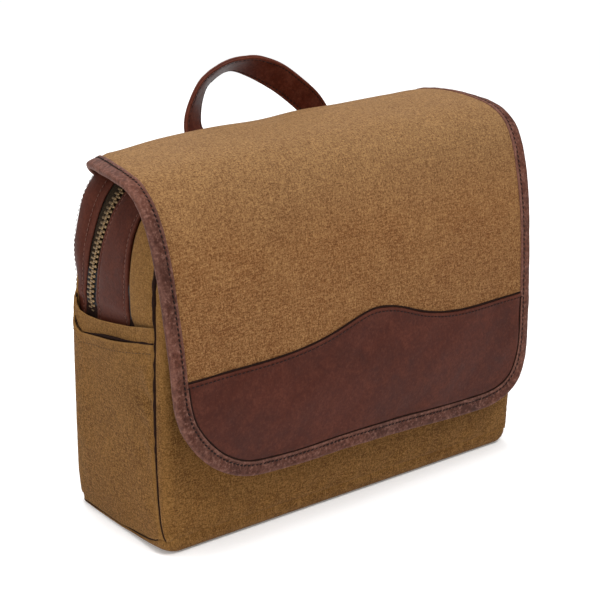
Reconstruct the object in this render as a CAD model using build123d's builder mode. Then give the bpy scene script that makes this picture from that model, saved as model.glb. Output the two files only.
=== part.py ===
"""Camera bag: waxed canvas and leather messenger bag with a zipped gusset, side slip pockets,
a front flap hung from the rear ridge, a carry strap on the back and a padded interior.

Origin: centre of the flat bottom.  -Y is the front, +Z is up, +X is right as seen from the front.
Millimetres."""
from build123d import *
import os
from math import hypot

os.makedirs("parts", exist_ok=True)

# ---------------------------------------------------------------- driving dimensions
BODY_W = 316.0        # width over the side canvas
BODY_H = 247.0        # height of the zipped body, flap not counted
Y_FRONT = -55.0       # outer face of the front panel
Y_BACK = 55.0         # outer face of the back panel
SHOULDER_R = 64.0     # radius of the two top corners, front view
FOOT_R = 10.0         # radius of the two bottom corners, front view
SKIN = 1.6            # canvas plus interlining
GAP = 0.2             # clearance between neighbouring pieces
HALF_GAP = GAP / 2
SIDE_X = BODY_W / 2   # outer face of the side canvas
SIDES = (("left", -1), ("right", 1))

# brow (y, z): side-view line from the level top to the upright front, under the flap
BROW = [(-8.0, 247.0), (-21.0, 244.0), (-32.0, 237.0), (-40.5, 227.0), (-46.5, 212.0),
        (-50.5, 193.0), (-53.5, 172.0), (-55.0, 155.0)]

SEAM_F = -45.4        # front panel to gusset seam
LEATHER_F0 = -13.0    # front edge of the front leather strip
LEATHER_F1 = 24.0     # zip edge of the front leather strip
ZIP_Y = 31.4          # centre line of the zip
LEATHER_R0 = 38.8     # zip edge of the rear leather strip
SEAM_R = 52.8         # rear leather to back panel seam
GUSSET_Z = 100.0      # lower end of the zipped gusset, inside the side pockets
CHAIN_Z = 112.0       # lower end of the zip chain

FLAP_W = 322.0
FLAP_Z0 = 41.5        # lowest edge of the flap
FLAP_R = 45.0         # its bottom corners
BIND_W = 11.0         # width of the binding along the flap's edge

# outer face of the flap (y, z), side view, from the rear ridge to the lower edge
FLAP_PATH = [(49.0, 257.0), (36.0, 259.0), (18.0, 260.0), (0.0, 260.2), (-14.0, 259.2),
             (-28.0, 254.4), (-40.0, 245.6), (-48.0, 233.0), (-53.6, 215.0), (-58.0, 195.0),
             (-62.6, 162.0), (-65.8, 128.0), (-67.6, 95.0), (-68.0, 60.0), (-67.6, FLAP_Z0)]
BEND = 4              # index of the point where the top run meets the front drop
TOP_RUN = slice(0, BEND + 1)
FRONT_RUN = slice(BEND, None)

# limits of cutting shapes, all clear of the bag
BELOW, ABOVE = -5.0, 300.0
CUT_W = 400.0
CUT_Y = 80.0


# ---------------------------------------------------------------- shared helpers
def at_y(y):
    """Front-view plane at depth y; a positive extrusion goes towards the front."""
    return Plane.XZ.offset(-y)


def both_sides(x, z):
    """Two front-view points, left and right of the centre."""
    return (-x, z), (x, z)


def arch_face(inset, mode=Mode.ADD):
    """Front-view outline of the body, moved in by inset."""
    half, low, top = SIDE_X - inset, inset, BODY_H - inset
    shoulder, foot = SHOULDER_R - inset, max(FOOT_R - inset, 1.0)
    with BuildLine() as outline:
        Line((-half + foot, low), (half - foot, low))
        CenterArc((half - foot, low + foot), foot, 270, 90)
        Line((half, low + foot), (half, top - shoulder))
        CenterArc((half - shoulder, top - shoulder), shoulder, 0, 90)
        Line((half - shoulder, top), (-half + shoulder, top))
        CenterArc((-half + shoulder, top - shoulder), shoulder, 90, 90)
        Line((-half, top - shoulder), (-half, low + foot))
        CenterArc((-half + foot, low + foot), foot, 180, 90)
    make_face(outline.edges(), mode=mode)


def offset_path(points, depth):
    """A side-view path that runs from the top down the front, moved inwards by depth."""
    moved = []
    for i, (y, z) in enumerate(points):
        before, after = points[max(i - 1, 0)], points[min(i + 1, len(points) - 1)]
        step_y, step_z = after[0] - before[0], after[1] - before[1]
        length = hypot(step_y, step_z)
        moved.append((y - depth * step_z / length, z + depth * step_y / length))
    return moved


def side_face(inset):
    """Side-view outline of the body, moved in by inset, with the leaning brow at the top front."""
    front, back, top = Y_FRONT + inset, Y_BACK - inset, BODY_H - inset
    brow_y, brow_z = BROW[0][0], BROW[-1][1]
    with BuildLine() as outline:
        Line((front, inset), (back, inset))
        Line((back, inset), (back, top))
        Line((back, top), (brow_y, top))
        Spline((brow_y, top), *offset_path(BROW, inset)[1:-1], (front, brow_z))
        Line((front, brow_z), (front, inset))
    make_face(outline.edges())


def body_solid(inset):
    """The whole body as a solid, moved in by inset on every face."""
    with BuildPart() as body:
        with BuildSketch(at_y(Y_BACK - inset)):
            arch_face(inset)
        extrude(amount=Y_BACK - Y_FRONT - 2 * inset)
        with BuildSketch(Plane.YZ):
            side_face(inset)
        extrude(amount=BODY_W, both=True, mode=Mode.INTERSECT)
    return body.part


def keep_between(y0, y1, z0, z1):
    """Keeps only what lies between two depths and two heights."""
    with BuildSketch(Plane.XY.offset(z0)) as plan:
        with Locations((0, (y0 + y1) / 2)):
            Rectangle(CUT_W, y1 - y0)
    extrude(plan.sketch, amount=z1 - z0, mode=Mode.INTERSECT)


def save(piece, label):
    piece.part.label = label
    export_step(piece.part, f"parts/{label}.step")


# ---------------------------------------------------------------- body skin and zipped gusset
# name, front y, rear y, lower z, upper z
SKIN_PIECES = [
    ("front_panel", Y_FRONT - 1, SEAM_F - HALF_GAP, BELOW, ABOVE),
    ("back_panel", SEAM_R + GAP, Y_BACK + 1, BELOW, ABOVE),
    ("bottom_panel", SEAM_F + HALF_GAP, SEAM_R, BELOW, FOOT_R),
    # the gusset goes up one side, over the top and down the other
    ("gusset_canvas_strip", SEAM_F + HALF_GAP, LEATHER_F0 - HALF_GAP, GUSSET_Z, ABOVE),
    ("gusset_leather_front", LEATHER_F0 + HALF_GAP, LEATHER_F1, GUSSET_Z, ABOVE),
    ("gusset_leather_rear", LEATHER_R0, SEAM_R, GUSSET_Z, ABOVE),
]
outer_body = body_solid(0)
inner_body = body_solid(SKIN)

for name, y0, y1, z0, z1 in SKIN_PIECES:
    with BuildPart() as skin_piece:
        add(outer_body)
        keep_between(y0, y1, z0, z1)
        add(inner_body, mode=Mode.SUBTRACT)
    save(skin_piece, name)

# ---------------------------------------------------------------- sides and slip pockets
FACING_T = 0.8
FACING_OUT = 1.4      # middle of the facing, out from the side canvas
POCKET_T = 1.4
POCKET_OUT = 2.0      # inner face of the pocket, out from the side canvas
POCKET_EDGE_R = 0.6

# side-view outlines (y, z)
FACING_OUTLINE = [(-44.6, 118), (52.0, 118), (52.0, 150.5), (42.7, 144), (18, 144.5),
                  (-17.8, 150), (-44.6, 155.4)]
POCKET_OUTLINE = [(-44.6, 9), (52.0, 9), (52.0, 137), (39.5, 129.5), (15, 131),
                  (-12.4, 135.4), (-44.6, 144)]

for side, sign in SIDES:
    with BuildPart() as side_panel:
        with BuildSketch(Plane.XY.offset(FOOT_R + GAP)):
            with Locations((sign * (SIDE_X - SKIN / 2), (SEAM_F + SEAM_R) / 2)):
                Rectangle(SKIN, SEAM_R - SEAM_F - GAP)
        extrude(amount=GUSSET_Z - FOOT_R - 2 * GAP)
    save(side_panel, f"{side}_side_panel")

    # the band whose upper edge shows above the pocket's mouth
    with BuildPart() as facing:
        with BuildSketch(Plane.YZ.offset(sign * (SIDE_X + FACING_OUT))):
            Polygon(*FACING_OUTLINE, align=None)
        extrude(amount=FACING_T / 2, both=True)
    save(facing, f"{side}_pocket_facing")

    with BuildPart() as pocket:
        with BuildSketch(Plane.YZ.offset(sign * (SIDE_X + POCKET_OUT + POCKET_T / 2))):
            Polygon(*POCKET_OUTLINE, align=None)
        extrude(amount=POCKET_T / 2, both=True)
        fillet(pocket.edges().filter_by(Axis.Y), radius=POCKET_EDGE_R)
    save(pocket, f"{side}_side_pocket")

# ---------------------------------------------------------------- zip tapes, teeth and end stops
TAPE_INSETS = (0.9, 1.6)      # outer and inner face, in from the body's outline
TEETH_INSETS = (-0.8, 0.8)
TEETH_W = 3.2                 # reach of the teeth from the centre line
STOP_T, STOP_H = 1.6, 3.2
STOP_X = SIDE_X - 0.1

# name, front y, rear y, (outer, inner) inset, lower z
ZIP_RUNS = [
    ("zip_tape_front", LEATHER_F1 + GAP, ZIP_Y - HALF_GAP, TAPE_INSETS, GUSSET_Z),
    ("zip_tape_rear", ZIP_Y + HALF_GAP, LEATHER_R0 - GAP, TAPE_INSETS, GUSSET_Z),
    ("zip_teeth_front", ZIP_Y - TEETH_W, ZIP_Y - HALF_GAP, TEETH_INSETS, CHAIN_Z),
    ("zip_teeth_rear", ZIP_Y + HALF_GAP, ZIP_Y + TEETH_W, TEETH_INSETS, CHAIN_Z),
]

for name, y0, y1, (outer_inset, inner_inset), z0 in ZIP_RUNS:
    with BuildPart() as zip_run:
        with BuildSketch(at_y(y1)):
            arch_face(outer_inset)
            arch_face(inner_inset, mode=Mode.SUBTRACT)
            with Locations((0, z0 - CUT_W / 2)):
                Rectangle(CUT_W, CUT_W, mode=Mode.SUBTRACT)
        extrude(amount=y1 - y0)
    save(zip_run, name)

with BuildPart() as stops:
    with BuildSketch(Plane.XY.offset(CHAIN_Z - GAP - STOP_H)):
        with Locations(*both_sides(STOP_X, ZIP_Y)):
            Rectangle(STOP_T, 2 * TEETH_W)
    extrude(amount=STOP_H)
save(stops, "zip_end_stops")

# ---------------------------------------------------------------- zip slider and pull, right side
SLIDER_Z = 161.0              # middle of the slider
SLIDER_W, SLIDER_L, SLIDER_R = 9.4, 12.0, 2.2
SLIDER_OUT, SLIDER_T = 1.1, 1.4
FLANGE_W, FLANGE_L = 1.0, 10.0
FLANGE_DY = 4.2               # flanges either side of the centre line
FLANGE_IN, FLANGE_T = 0.6, 2.0

PIN_X, PIN_Z = SIDE_X + 4.9, SLIDER_Z + 4.0
PIN_R, PIN_HALF = 0.8, 2.6
LUG_X = SIDE_X + 3.9
LUG_W, LUG_H, LUG_T = 4.2, 4.0, 1.1
LUG_DY = 3.4                  # outer face of each lug from the centre line

EYE_R, EYE_HALF = 1.8, 2.0    # the puller's barrel around the pin
EYE_HOLE_R = 0.88
PULLER_T = 1.2
NECK_W, NECK_L, NECK_DROP = 4.0, 6.0, 4.0             # drops are from pin to middle
FRAME_W, FRAME_L, FRAME_R, FRAME_DROP = 8.0, 12.0, 2.0, 11.0
SLOT_W, SLOT_L, SLOT_R, SLOT_DROP = 4.6, 6.0, 0.3, 12.0

TAB_W, TAB_L, TAB_R, TAB_DROP = 9.0, 28.0, 2.5, 31.5
TAB_T = 2.8
FOLD_W, FOLD_L, FOLD_DROP = 4.0, 4.6, 15.4
NOTCH_W, NOTCH_L, NOTCH_DROP = 9.2, 2.3, 16.05
NOTCH_T = 1.5


def pin_disc(radius, half_length, mode=Mode.ADD):
    """A cylinder on the axis of the slider's pin, centred on the zip."""
    with BuildSketch(at_y(ZIP_Y + half_length)) as disc:
        with Locations((PIN_X, PIN_Z)):
            Circle(radius)
    extrude(disc.sketch, amount=2 * half_length, mode=mode)


with BuildPart() as slider:
    with BuildSketch(Plane.YZ.offset(SIDE_X + SLIDER_OUT)):
        with Locations((ZIP_Y, SLIDER_Z)):
            RectangleRounded(SLIDER_W, SLIDER_L, SLIDER_R)
    extrude(amount=SLIDER_T)
    with BuildSketch(Plane.YZ.offset(SIDE_X - FLANGE_IN)):
        with Locations((ZIP_Y - FLANGE_DY, SLIDER_Z), (ZIP_Y + FLANGE_DY, SLIDER_Z)):
            Rectangle(FLANGE_W, FLANGE_L)
    extrude(amount=FLANGE_T)
    for lug_y in (ZIP_Y + LUG_DY, ZIP_Y - LUG_DY + LUG_T):
        with BuildSketch(at_y(lug_y)):
            with Locations((LUG_X, PIN_Z)):
                Rectangle(LUG_W, LUG_H)
        extrude(amount=LUG_T)
    pin_disc(PIN_R, PIN_HALF)
save(slider, "zip_slider")

with BuildPart() as puller:
    pin_disc(EYE_R, EYE_HALF)
    with BuildSketch(Plane.YZ.offset(PIN_X - PULLER_T / 2)):
        with Locations((ZIP_Y, PIN_Z - NECK_DROP)):
            Rectangle(NECK_W, NECK_L)
        with Locations((ZIP_Y, PIN_Z - FRAME_DROP)):
            RectangleRounded(FRAME_W, FRAME_L, FRAME_R)
        with Locations((ZIP_Y, PIN_Z - SLOT_DROP)):
            RectangleRounded(SLOT_W, SLOT_L, SLOT_R, mode=Mode.SUBTRACT)
    extrude(amount=PULLER_T)
    pin_disc(EYE_HOLE_R, 4.0, mode=Mode.SUBTRACT)
save(puller, "zip_puller")

with BuildPart() as tab:
    with BuildSketch(Plane.YZ.offset(PIN_X - TAB_T / 2)):
        with Locations((ZIP_Y, PIN_Z - TAB_DROP)):
            RectangleRounded(TAB_W, TAB_L, TAB_R)
    extrude(amount=TAB_T)
    # the fold that passes through the puller's slot
    with BuildSketch(Plane.YZ.offset(PIN_X - TAB_T / 2)):
        with Locations((ZIP_Y, PIN_Z - FOLD_DROP)):
            Rectangle(FOLD_W, FOLD_L)
    extrude(amount=TAB_T)
    # room for the lower bar of the puller
    with BuildSketch(Plane.YZ.offset(PIN_X - NOTCH_T / 2)):
        with Locations((ZIP_Y, PIN_Z - NOTCH_DROP)):
            Rectangle(NOTCH_W, NOTCH_L)
    extrude(amount=NOTCH_T, mode=Mode.SUBTRACT)
save(tab, "zip_pull_tab")

# ---------------------------------------------------------------- stiffening, padding, lining
BOARD_W, BOARD_D, BASE_T = 292, 94, 2.5
PAD_W, PAD_D = 296, 90.4      # bottom foam
PAD = 6.0                     # foam thickness of walls
PAD_BASE = 8.0
BASE_R = 6                    # corners of board and bottom foam
PAD_GAP = 0.4                 # wall foam to canvas
FRONT_PAD_W, FRONT_PAD_H, FRONT_PAD_R, FRONT_PAD_Z = BODY_W - 16, 146, 12, 81
BACK_PAD_INSET = 5.0
SIDE_PAD_D, SIDE_PAD_GAP = 88.0, 0.3

Z_BOARD = SKIN + GAP
Z_PAD = Z_BOARD + BASE_T + GAP
Z_TUB = Z_PAD + PAD_BASE + GAP
TUB_TOP = 176.0
TUB_X = SIDE_X - SKIN - SIDE_PAD_GAP - PAD - GAP      # half width of the lining
TUB_Y = 45.4                                          # half depth of the lining
TUB_R = 4
LINING_T = 0.8
SLIP_W, SLIP_H, SLIP_R, SLIP_Z, SLIP_T = 220, 116, 6, 84, 1.0

DIVIDER_T = 8.0
DIVIDER_X = 50.0
DIVIDER_TOP = 150.0
DIVIDER_R = 3.0
DIVIDER_Z0 = Z_TUB + LINING_T + 0.4
DIVIDER_Y0, DIVIDER_Y1 = -TUB_Y + LINING_T + 0.4, TUB_Y - LINING_T - 1.6

with BuildPart() as base_board:
    with BuildSketch(Plane.XY.offset(Z_BOARD)):
        RectangleRounded(BOARD_W, BOARD_D, BASE_R)
    extrude(amount=BASE_T)
save(base_board, "base_board")

with BuildPart() as foam_bottom:
    with BuildSketch(Plane.XY.offset(Z_PAD)):
        RectangleRounded(PAD_W, PAD_D, BASE_R)
    extrude(amount=PAD_BASE)
save(foam_bottom, "foam_bottom")

with BuildPart() as foam_front:
    with BuildSketch(at_y(Y_FRONT + SKIN + PAD_GAP + PAD)):
        with Locations((0, FRONT_PAD_Z)):
            RectangleRounded(FRONT_PAD_W, FRONT_PAD_H, FRONT_PAD_R)
    extrude(amount=PAD)
save(foam_front, "foam_front")

with BuildPart() as foam_back:
    with BuildSketch(at_y(Y_BACK - SKIN - PAD_GAP)):
        arch_face(BACK_PAD_INSET)
    extrude(amount=PAD)
save(foam_back, "foam_back")

with BuildPart() as lining:
    with BuildSketch(Plane.XY.offset(Z_TUB)):
        RectangleRounded(2 * TUB_X, 2 * TUB_Y, TUB_R)
    extrude(amount=TUB_TOP - Z_TUB)
    offset(amount=-LINING_T, openings=lining.faces().sort_by(Axis.Z)[-1])
save(lining, "lining")

# flat against the lining's back wall
with BuildPart() as inner_pocket:
    with BuildSketch(at_y(TUB_Y - LINING_T - GAP)):
        with Locations((0, SLIP_Z)):
            RectangleRounded(SLIP_W, SLIP_H, SLIP_R)
    extrude(amount=SLIP_T)
save(inner_pocket, "inner_slip_pocket")

for side, sign in SIDES:
    with BuildPart() as foam_side:
        with BuildSketch(Plane.XY.offset(Z_TUB)):
            with Locations((sign * (SIDE_X - SKIN - SIDE_PAD_GAP - PAD / 2), 0)):
                Rectangle(PAD, SIDE_PAD_D)
        extrude(amount=TUB_TOP - Z_TUB)
    save(foam_side, f"foam_{side}")

    with BuildPart() as divider:
        with BuildSketch(Plane.XY.offset(DIVIDER_Z0)):
            with Locations((sign * DIVIDER_X, (DIVIDER_Y0 + DIVIDER_Y1) / 2)):
                Rectangle(DIVIDER_T, DIVIDER_Y1 - DIVIDER_Y0)
        extrude(amount=DIVIDER_TOP - DIVIDER_Z0)
        fillet(divider.edges().filter_by(Axis.Y), radius=DIVIDER_R)
    save(divider, f"divider_{side}")

# ---------------------------------------------------------------- flap, in two runs that meet at the bend
# depths are measured inwards from the flap's outer face
FLAP_SHEETS = (("canvas", 1.1, 2.1), ("lining", 2.2, 3.1))    # name, outer depth, inner depth
SHEET_INSET = 1.2             # sheet edge, in from the flap's outline
GROOVE = (0.95, 3.25)         # depths of the binding's groove, which takes both sheets
GROOVE_INSET = 1.0
BIND_T = 4.2
BAND_T = 1.0

# upper edge of the leather band (x, z)
WAVE = [(-161, 124.5), (-84, 124.5), (-48, 128), (-26, 133.2), (0, 141), (26, 138),
        (45, 131.8), (64, 126.8), (84, 124.2), (161, 124.5)]
WAVE_LOW = 20                 # below the flap's lower edge


def flap_layer(run, outer_depth, inner_depth):
    """One layer of a run of the flap, between two depths."""
    outer = offset_path(FLAP_PATH, outer_depth)[run]
    inner = offset_path(FLAP_PATH, inner_depth)[run]
    with BuildSketch(Plane.YZ) as layer:
        with BuildLine() as edge:
            Spline(*outer)
            Line(outer[-1], inner[-1])
            Spline(*inner)
            Line(inner[0], outer[0])
        make_face(edge.edges())
    extrude(layer.sketch, amount=FLAP_W, both=True)


def flap_outline(inset, mode=Mode.ADD):
    """Front-view outline of the whole flap, moved in by inset."""
    half, low, corner = FLAP_W / 2 - inset, FLAP_Z0 + inset, FLAP_R - inset
    with BuildLine() as outline:
        Line((-half, ABOVE), (-half, low + corner))
        CenterArc((-half + corner, low + corner), corner, 180, 90)
        Line((-half + corner, low), (half - corner, low))
        CenterArc((half - corner, low + corner), corner, 270, 90)
        Line((half, low + corner), (half, ABOVE))
        Line((half, ABOVE), (-half, ABOVE))
    make_face(outline.edges(), mode=mode)


def cut_to_outline(inset):
    with BuildSketch(at_y(CUT_Y)) as front:
        flap_outline(inset)
    extrude(front.sketch, amount=2 * CUT_Y, mode=Mode.INTERSECT)


for place, run in (("top", TOP_RUN), ("front", FRONT_RUN)):
    for name, outer_depth, inner_depth in FLAP_SHEETS:
        with BuildPart() as sheet:
            flap_layer(run, outer_depth, inner_depth)
            cut_to_outline(SHEET_INSET)
        save(sheet, f"flap_{place}_{name}")

    with BuildPart() as groove:
        flap_layer(run, *GROOVE)
        cut_to_outline(GROOVE_INSET)
    with BuildPart() as binding:
        flap_layer(run, 0.0, BIND_T)
        with BuildSketch(at_y(CUT_Y)):
            flap_outline(0)
            flap_outline(BIND_W, mode=Mode.SUBTRACT)
        extrude(amount=2 * CUT_Y, mode=Mode.INTERSECT)
        add(groove.part, mode=Mode.SUBTRACT)
    save(binding, f"flap_{place}_binding")

with BuildPart() as leather_band:
    flap_layer(FRONT_RUN, 0.0, BAND_T)
    with BuildSketch(at_y(0)):
        flap_outline(BIND_W + GAP)
    extrude(amount=2 * CUT_Y, mode=Mode.INTERSECT)
    with BuildSketch(at_y(0)):
        with BuildLine():
            Spline(*WAVE)
            Polyline(WAVE[-1], (FLAP_W / 2, WAVE_LOW), (-FLAP_W / 2, WAVE_LOW), WAVE[0])
        make_face()
    extrude(amount=2 * CUT_Y, mode=Mode.INTERSECT)
save(leather_band, "flap_leather_band")

# ---------------------------------------------------------------- magnetic snaps, hidden under the flap
SNAP_X, SNAP_Z, SNAP_R = 95.0, 72.0, 8.5
SOCKET_T, SOCKET_HOLE_R = 1.4, 2.2
STUD_Y, STUD_T = Y_FRONT - 2.2, 6.0
NIB_Y, NIB_L, NIB_R = Y_FRONT - 0.6, 1.8, 2.0
SNAPS = both_sides(SNAP_X, SNAP_Z)

with BuildPart() as sockets:
    with BuildSketch(at_y(Y_FRONT - GAP)):
        with Locations(*SNAPS):
            Circle(SNAP_R)
            Circle(SOCKET_HOLE_R, mode=Mode.SUBTRACT)
    extrude(amount=SOCKET_T)
save(sockets, "snap_sockets")

with BuildPart() as studs:
    with BuildSketch(at_y(STUD_Y)):
        with Locations(*SNAPS):
            Circle(SNAP_R)
    extrude(amount=STUD_T)
    with BuildSketch(at_y(NIB_Y)):
        with Locations(*SNAPS):
            Circle(NIB_R)
    extrude(amount=NIB_L)
save(studs, "snap_studs")

# ---------------------------------------------------------------- yoke and carry strap, on the back
YOKE_W, YOKE_H, YOKE_R, YOKE_Z, YOKE_T = 300, 50, 4, 221, 1.6
PATCH_W, PATCH_H, PATCH_R, PATCH_Z, PATCH_T = 30, 28, 3, 225, 1.3
HANDLE_X = 57.0       # half the spacing of the strap's ends
HANDLE_W = 20.0       # width of the strap's feet
END_H, END_R, END_Z, END_T = 24, 2, 227, 3.0          # the feet
RIVET_Z, RIVET_R, SHANK_R, RIVET_HOLE_R = 220.5, 4.0, 2.0, 2.1
HEAD_OUT, HEAD_T, SHANK_OUT = 1.2, 1.1, 0.5           # "out" is behind the feet
LOOP_Y0, LOOP_D = Y_BACK + 7.0, 14.0
LOOP_Z = 241.0        # flat lower ends of the half ring
PLY_FAR = 1.8         # far face of each strap ply from the middle radius

YOKE_Y = Y_BACK + GAP + YOKE_T        # rear faces
PATCH_Y = YOKE_Y + GAP + PATCH_T
FOOT_Y0 = PATCH_Y + GAP
FOOT_Y1 = FOOT_Y0 + END_T
RIVETS = both_sides(HANDLE_X, RIVET_Z)

# the flap's rear end, sewn flat to the back panel below the ridge
with BuildPart() as yoke:
    with BuildSketch(at_y(YOKE_Y)):
        with Locations((0, YOKE_Z)):
            RectangleRounded(YOKE_W, YOKE_H, YOKE_R)
    extrude(amount=YOKE_T)
save(yoke, "flap_yoke")

with BuildPart() as patches:
    with BuildSketch(at_y(PATCH_Y)):
        with Locations(*both_sides(HANDLE_X, PATCH_Z)):
            RectangleRounded(PATCH_W, PATCH_H, PATCH_R)
    extrude(amount=PATCH_T)
save(patches, "handle_patches")

with BuildPart() as feet:
    with BuildSketch(at_y(FOOT_Y1)):
        with Locations(*both_sides(HANDLE_X, END_Z)):
            RectangleRounded(HANDLE_W, END_H, END_R)
        with Locations(*RIVETS):
            Circle(RIVET_HOLE_R, mode=Mode.SUBTRACT)
    extrude(amount=END_T)
save(feet, "handle_feet")

with BuildPart() as rivets:
    with BuildSketch(at_y(FOOT_Y1 + HEAD_OUT)):
        with Locations(*RIVETS):
            Circle(RIVET_R)
    extrude(amount=HEAD_T)
    with BuildSketch(at_y(FOOT_Y1 + SHANK_OUT)):
        with Locations(*RIVETS):
            Circle(SHANK_R)
    extrude(amount=END_T + SHANK_OUT)
save(rivets, "handle_rivets")

# half rings over the two feet: name, outer radius, inner radius
STRAP_PLIES = [("handle_strap", HANDLE_X + PLY_FAR, HANDLE_X + HALF_GAP),
               ("handle_backing", HANDLE_X - HALF_GAP, HANDLE_X - PLY_FAR)]

for name, outer_r, inner_r in STRAP_PLIES:
    with BuildPart() as ply:
        with BuildSketch(at_y(LOOP_Y0 + LOOP_D)):
            with Locations((0, LOOP_Z)):
                Circle(outer_r)
                Circle(inner_r, mode=Mode.SUBTRACT)
            with Locations((0, LOOP_Z - CUT_W / 2)):
                Rectangle(CUT_W, CUT_W, mode=Mode.SUBTRACT)
        extrude(amount=LOOP_D)
    save(ply, name)
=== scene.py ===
# A canvas messenger bag with leather trim, a long front flap, a zip and a carry strap.
# It stands on the floor at z = 0: X runs across it (left is -X), the front faces -Y and the
# back +Y. Shapes are worked out in millimetres and scaled to metres when a mesh is made.
import math

import bmesh
import bpy
import numpy as np
from mathutils import Matrix, Vector


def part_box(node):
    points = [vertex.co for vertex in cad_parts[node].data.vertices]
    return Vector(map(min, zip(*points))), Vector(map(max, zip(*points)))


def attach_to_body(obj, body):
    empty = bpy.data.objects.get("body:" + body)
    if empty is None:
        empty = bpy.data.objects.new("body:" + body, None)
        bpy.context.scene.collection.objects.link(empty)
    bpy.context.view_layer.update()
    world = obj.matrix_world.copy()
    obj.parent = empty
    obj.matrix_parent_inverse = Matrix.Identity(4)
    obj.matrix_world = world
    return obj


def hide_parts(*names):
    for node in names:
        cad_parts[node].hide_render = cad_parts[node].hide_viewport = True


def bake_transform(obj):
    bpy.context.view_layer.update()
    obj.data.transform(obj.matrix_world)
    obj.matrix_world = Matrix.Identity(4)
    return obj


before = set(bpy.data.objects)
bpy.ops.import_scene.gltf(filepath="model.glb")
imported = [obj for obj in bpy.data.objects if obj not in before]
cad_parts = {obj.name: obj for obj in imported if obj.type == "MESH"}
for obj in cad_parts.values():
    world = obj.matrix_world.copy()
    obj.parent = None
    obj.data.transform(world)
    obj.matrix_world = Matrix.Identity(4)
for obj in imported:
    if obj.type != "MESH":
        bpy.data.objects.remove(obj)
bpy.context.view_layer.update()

MM = 0.001
SIDES = ((-1, "left"), (1, "right"))


# ============================================================ curves and numbers
def ripple(points, wavelength, seed, waves=7):
    """Smooth repeatable noise of about unit size."""
    random = np.random.default_rng(seed)
    points = np.asarray(points, float)
    total = np.zeros(points.shape[:-1])
    for _ in range(waves):
        direction = random.normal(size=3)
        direction /= np.linalg.norm(direction)
        frequency = 2 * np.pi / (wavelength * random.uniform(0.6, 1.7))
        total += np.sin(points @ direction * frequency + random.uniform(0, 6.28))
    return total / math.sqrt(waves)


def smoothstep(x):
    x = np.clip(x, 0, 1)
    return x * x * (3 - 2 * x)


def smooth_min(a, b, width):
    share = np.clip(0.5 + 0.5 * (b - a) / width, 0, 1)
    return b * (1 - share) + a * share - width * share * (1 - share)


def signed_power(values, power):
    return np.sign(values) * np.abs(values) ** power


def unit(vectors):
    return vectors / np.maximum(np.linalg.norm(vectors, axis=-1, keepdims=True), 1e-12)


def lookup(x, table, column=1):
    """Straight-line interpolation in a table whose first column is x."""
    rows = np.asarray(table, float)
    return np.interp(x, rows[:, 0], rows[:, column])


def spline(knots, values):
    """Natural cubic spline through the values at the knots, as a function."""
    t = np.asarray(knots, float)
    y = np.asarray(values, float)
    single = y.ndim == 1
    if single:
        y = y[:, None]
    n = len(t)
    h = np.diff(t)
    A = np.zeros((n, n))
    B = np.zeros((n, y.shape[1]))
    A[0, 0] = A[-1, -1] = 1
    for i in range(1, n - 1):
        A[i, i - 1:i + 2] = h[i - 1], 2 * (h[i - 1] + h[i]), h[i]
        B[i] = 6 * ((y[i + 1] - y[i]) / h[i] - (y[i] - y[i - 1]) / h[i - 1])
    bend = np.linalg.solve(A, B)

    def evaluate(x):
        x = np.asarray(x, float)
        i = np.clip(np.searchsorted(t, x) - 1, 0, n - 2)
        a = (t[i + 1] - x)[..., None]
        b = (x - t[i])[..., None]
        step = h[i][..., None]
        result = ((bend[i] * a ** 3 + bend[i + 1] * b ** 3) / (6 * step)
                  + (y[i] / step - bend[i] * step / 6) * a
                  + (y[i + 1] / step - bend[i + 1] * step / 6) * b)
        return result[..., 0] if single else result
    return evaluate


def run_length(points):
    """Length along a polyline at each of its points."""
    steps = np.linalg.norm(np.diff(np.asarray(points, float), axis=0), axis=1)
    return np.concatenate([[0], np.cumsum(steps)])


def along(query, lengths, points):
    """Points of a polyline at the queried lengths."""
    points = np.asarray(points, float)
    return np.stack([np.interp(query, lengths, column) for column in points.T], -1)


def even_points(points, count):
    lengths = run_length(points)
    return along(np.linspace(0, lengths[-1], count), lengths, points)


def even_spline(points, count, samples):
    """Evenly spaced points on a cubic spline through the given ones."""
    lengths = run_length(points)
    return even_points(spline(lengths, points)(np.linspace(0, lengths[-1], samples)), count)


def close_loop(points):
    return np.concatenate([points, points[:1]])


def even_loop(points, step=3.0):
    """A closed outline with points about one step apart."""
    points = close_loop(points)
    count = max(2, int(round(run_length(points)[-1] / step)) + 1)
    return even_points(points, count)[:-1]


def distance_to(points, line):
    """Distance of each 2D point from the nearest point of a line."""
    parts = np.array_split(points, len(points) // 3000 + 1)
    return np.concatenate([np.hypot(part[:, None, 0] - line[None, :, 0],
                                    part[:, None, 1] - line[None, :, 1]).min(1)
                           for part in parts])


# ============================================================ meshes
def set_uv(mesh, uv):
    """One UV per vertex, given in millimetres."""
    layer = mesh.uv_layers.new(name="UVMap")
    corners = np.zeros(len(mesh.loops), np.int32)
    mesh.loops.foreach_get("vertex_index", corners)
    values = (np.asarray(uv, float)[corners] * MM).astype(np.float32)
    layer.data.foreach_set("uv", values.ravel())


def set_smooth(mesh):
    mesh.polygons.foreach_set("use_smooth", np.ones(len(mesh.polygons), bool))


def make(name, vertices, faces, mat, uv=None, smooth=True):
    mesh = bpy.data.meshes.new(name)
    mesh.from_pydata((np.asarray(vertices, float) * MM).tolist(), [], faces)
    mesh.update()
    if uv is not None:
        set_uv(mesh, uv)
    if smooth:
        set_smooth(mesh)
    obj = bpy.data.objects.new(name, mesh)
    bpy.context.scene.collection.objects.link(obj)
    mesh.materials.append(mat)
    return obj


def face_outward(obj):
    bm = bmesh.new()
    bm.from_mesh(obj.data)
    bmesh.ops.recalc_face_normals(bm, faces=bm.faces)
    bm.to_mesh(obj.data)
    bm.free()


def fix_normals(obj):
    face_outward(obj)
    set_smooth(obj.data)


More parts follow.
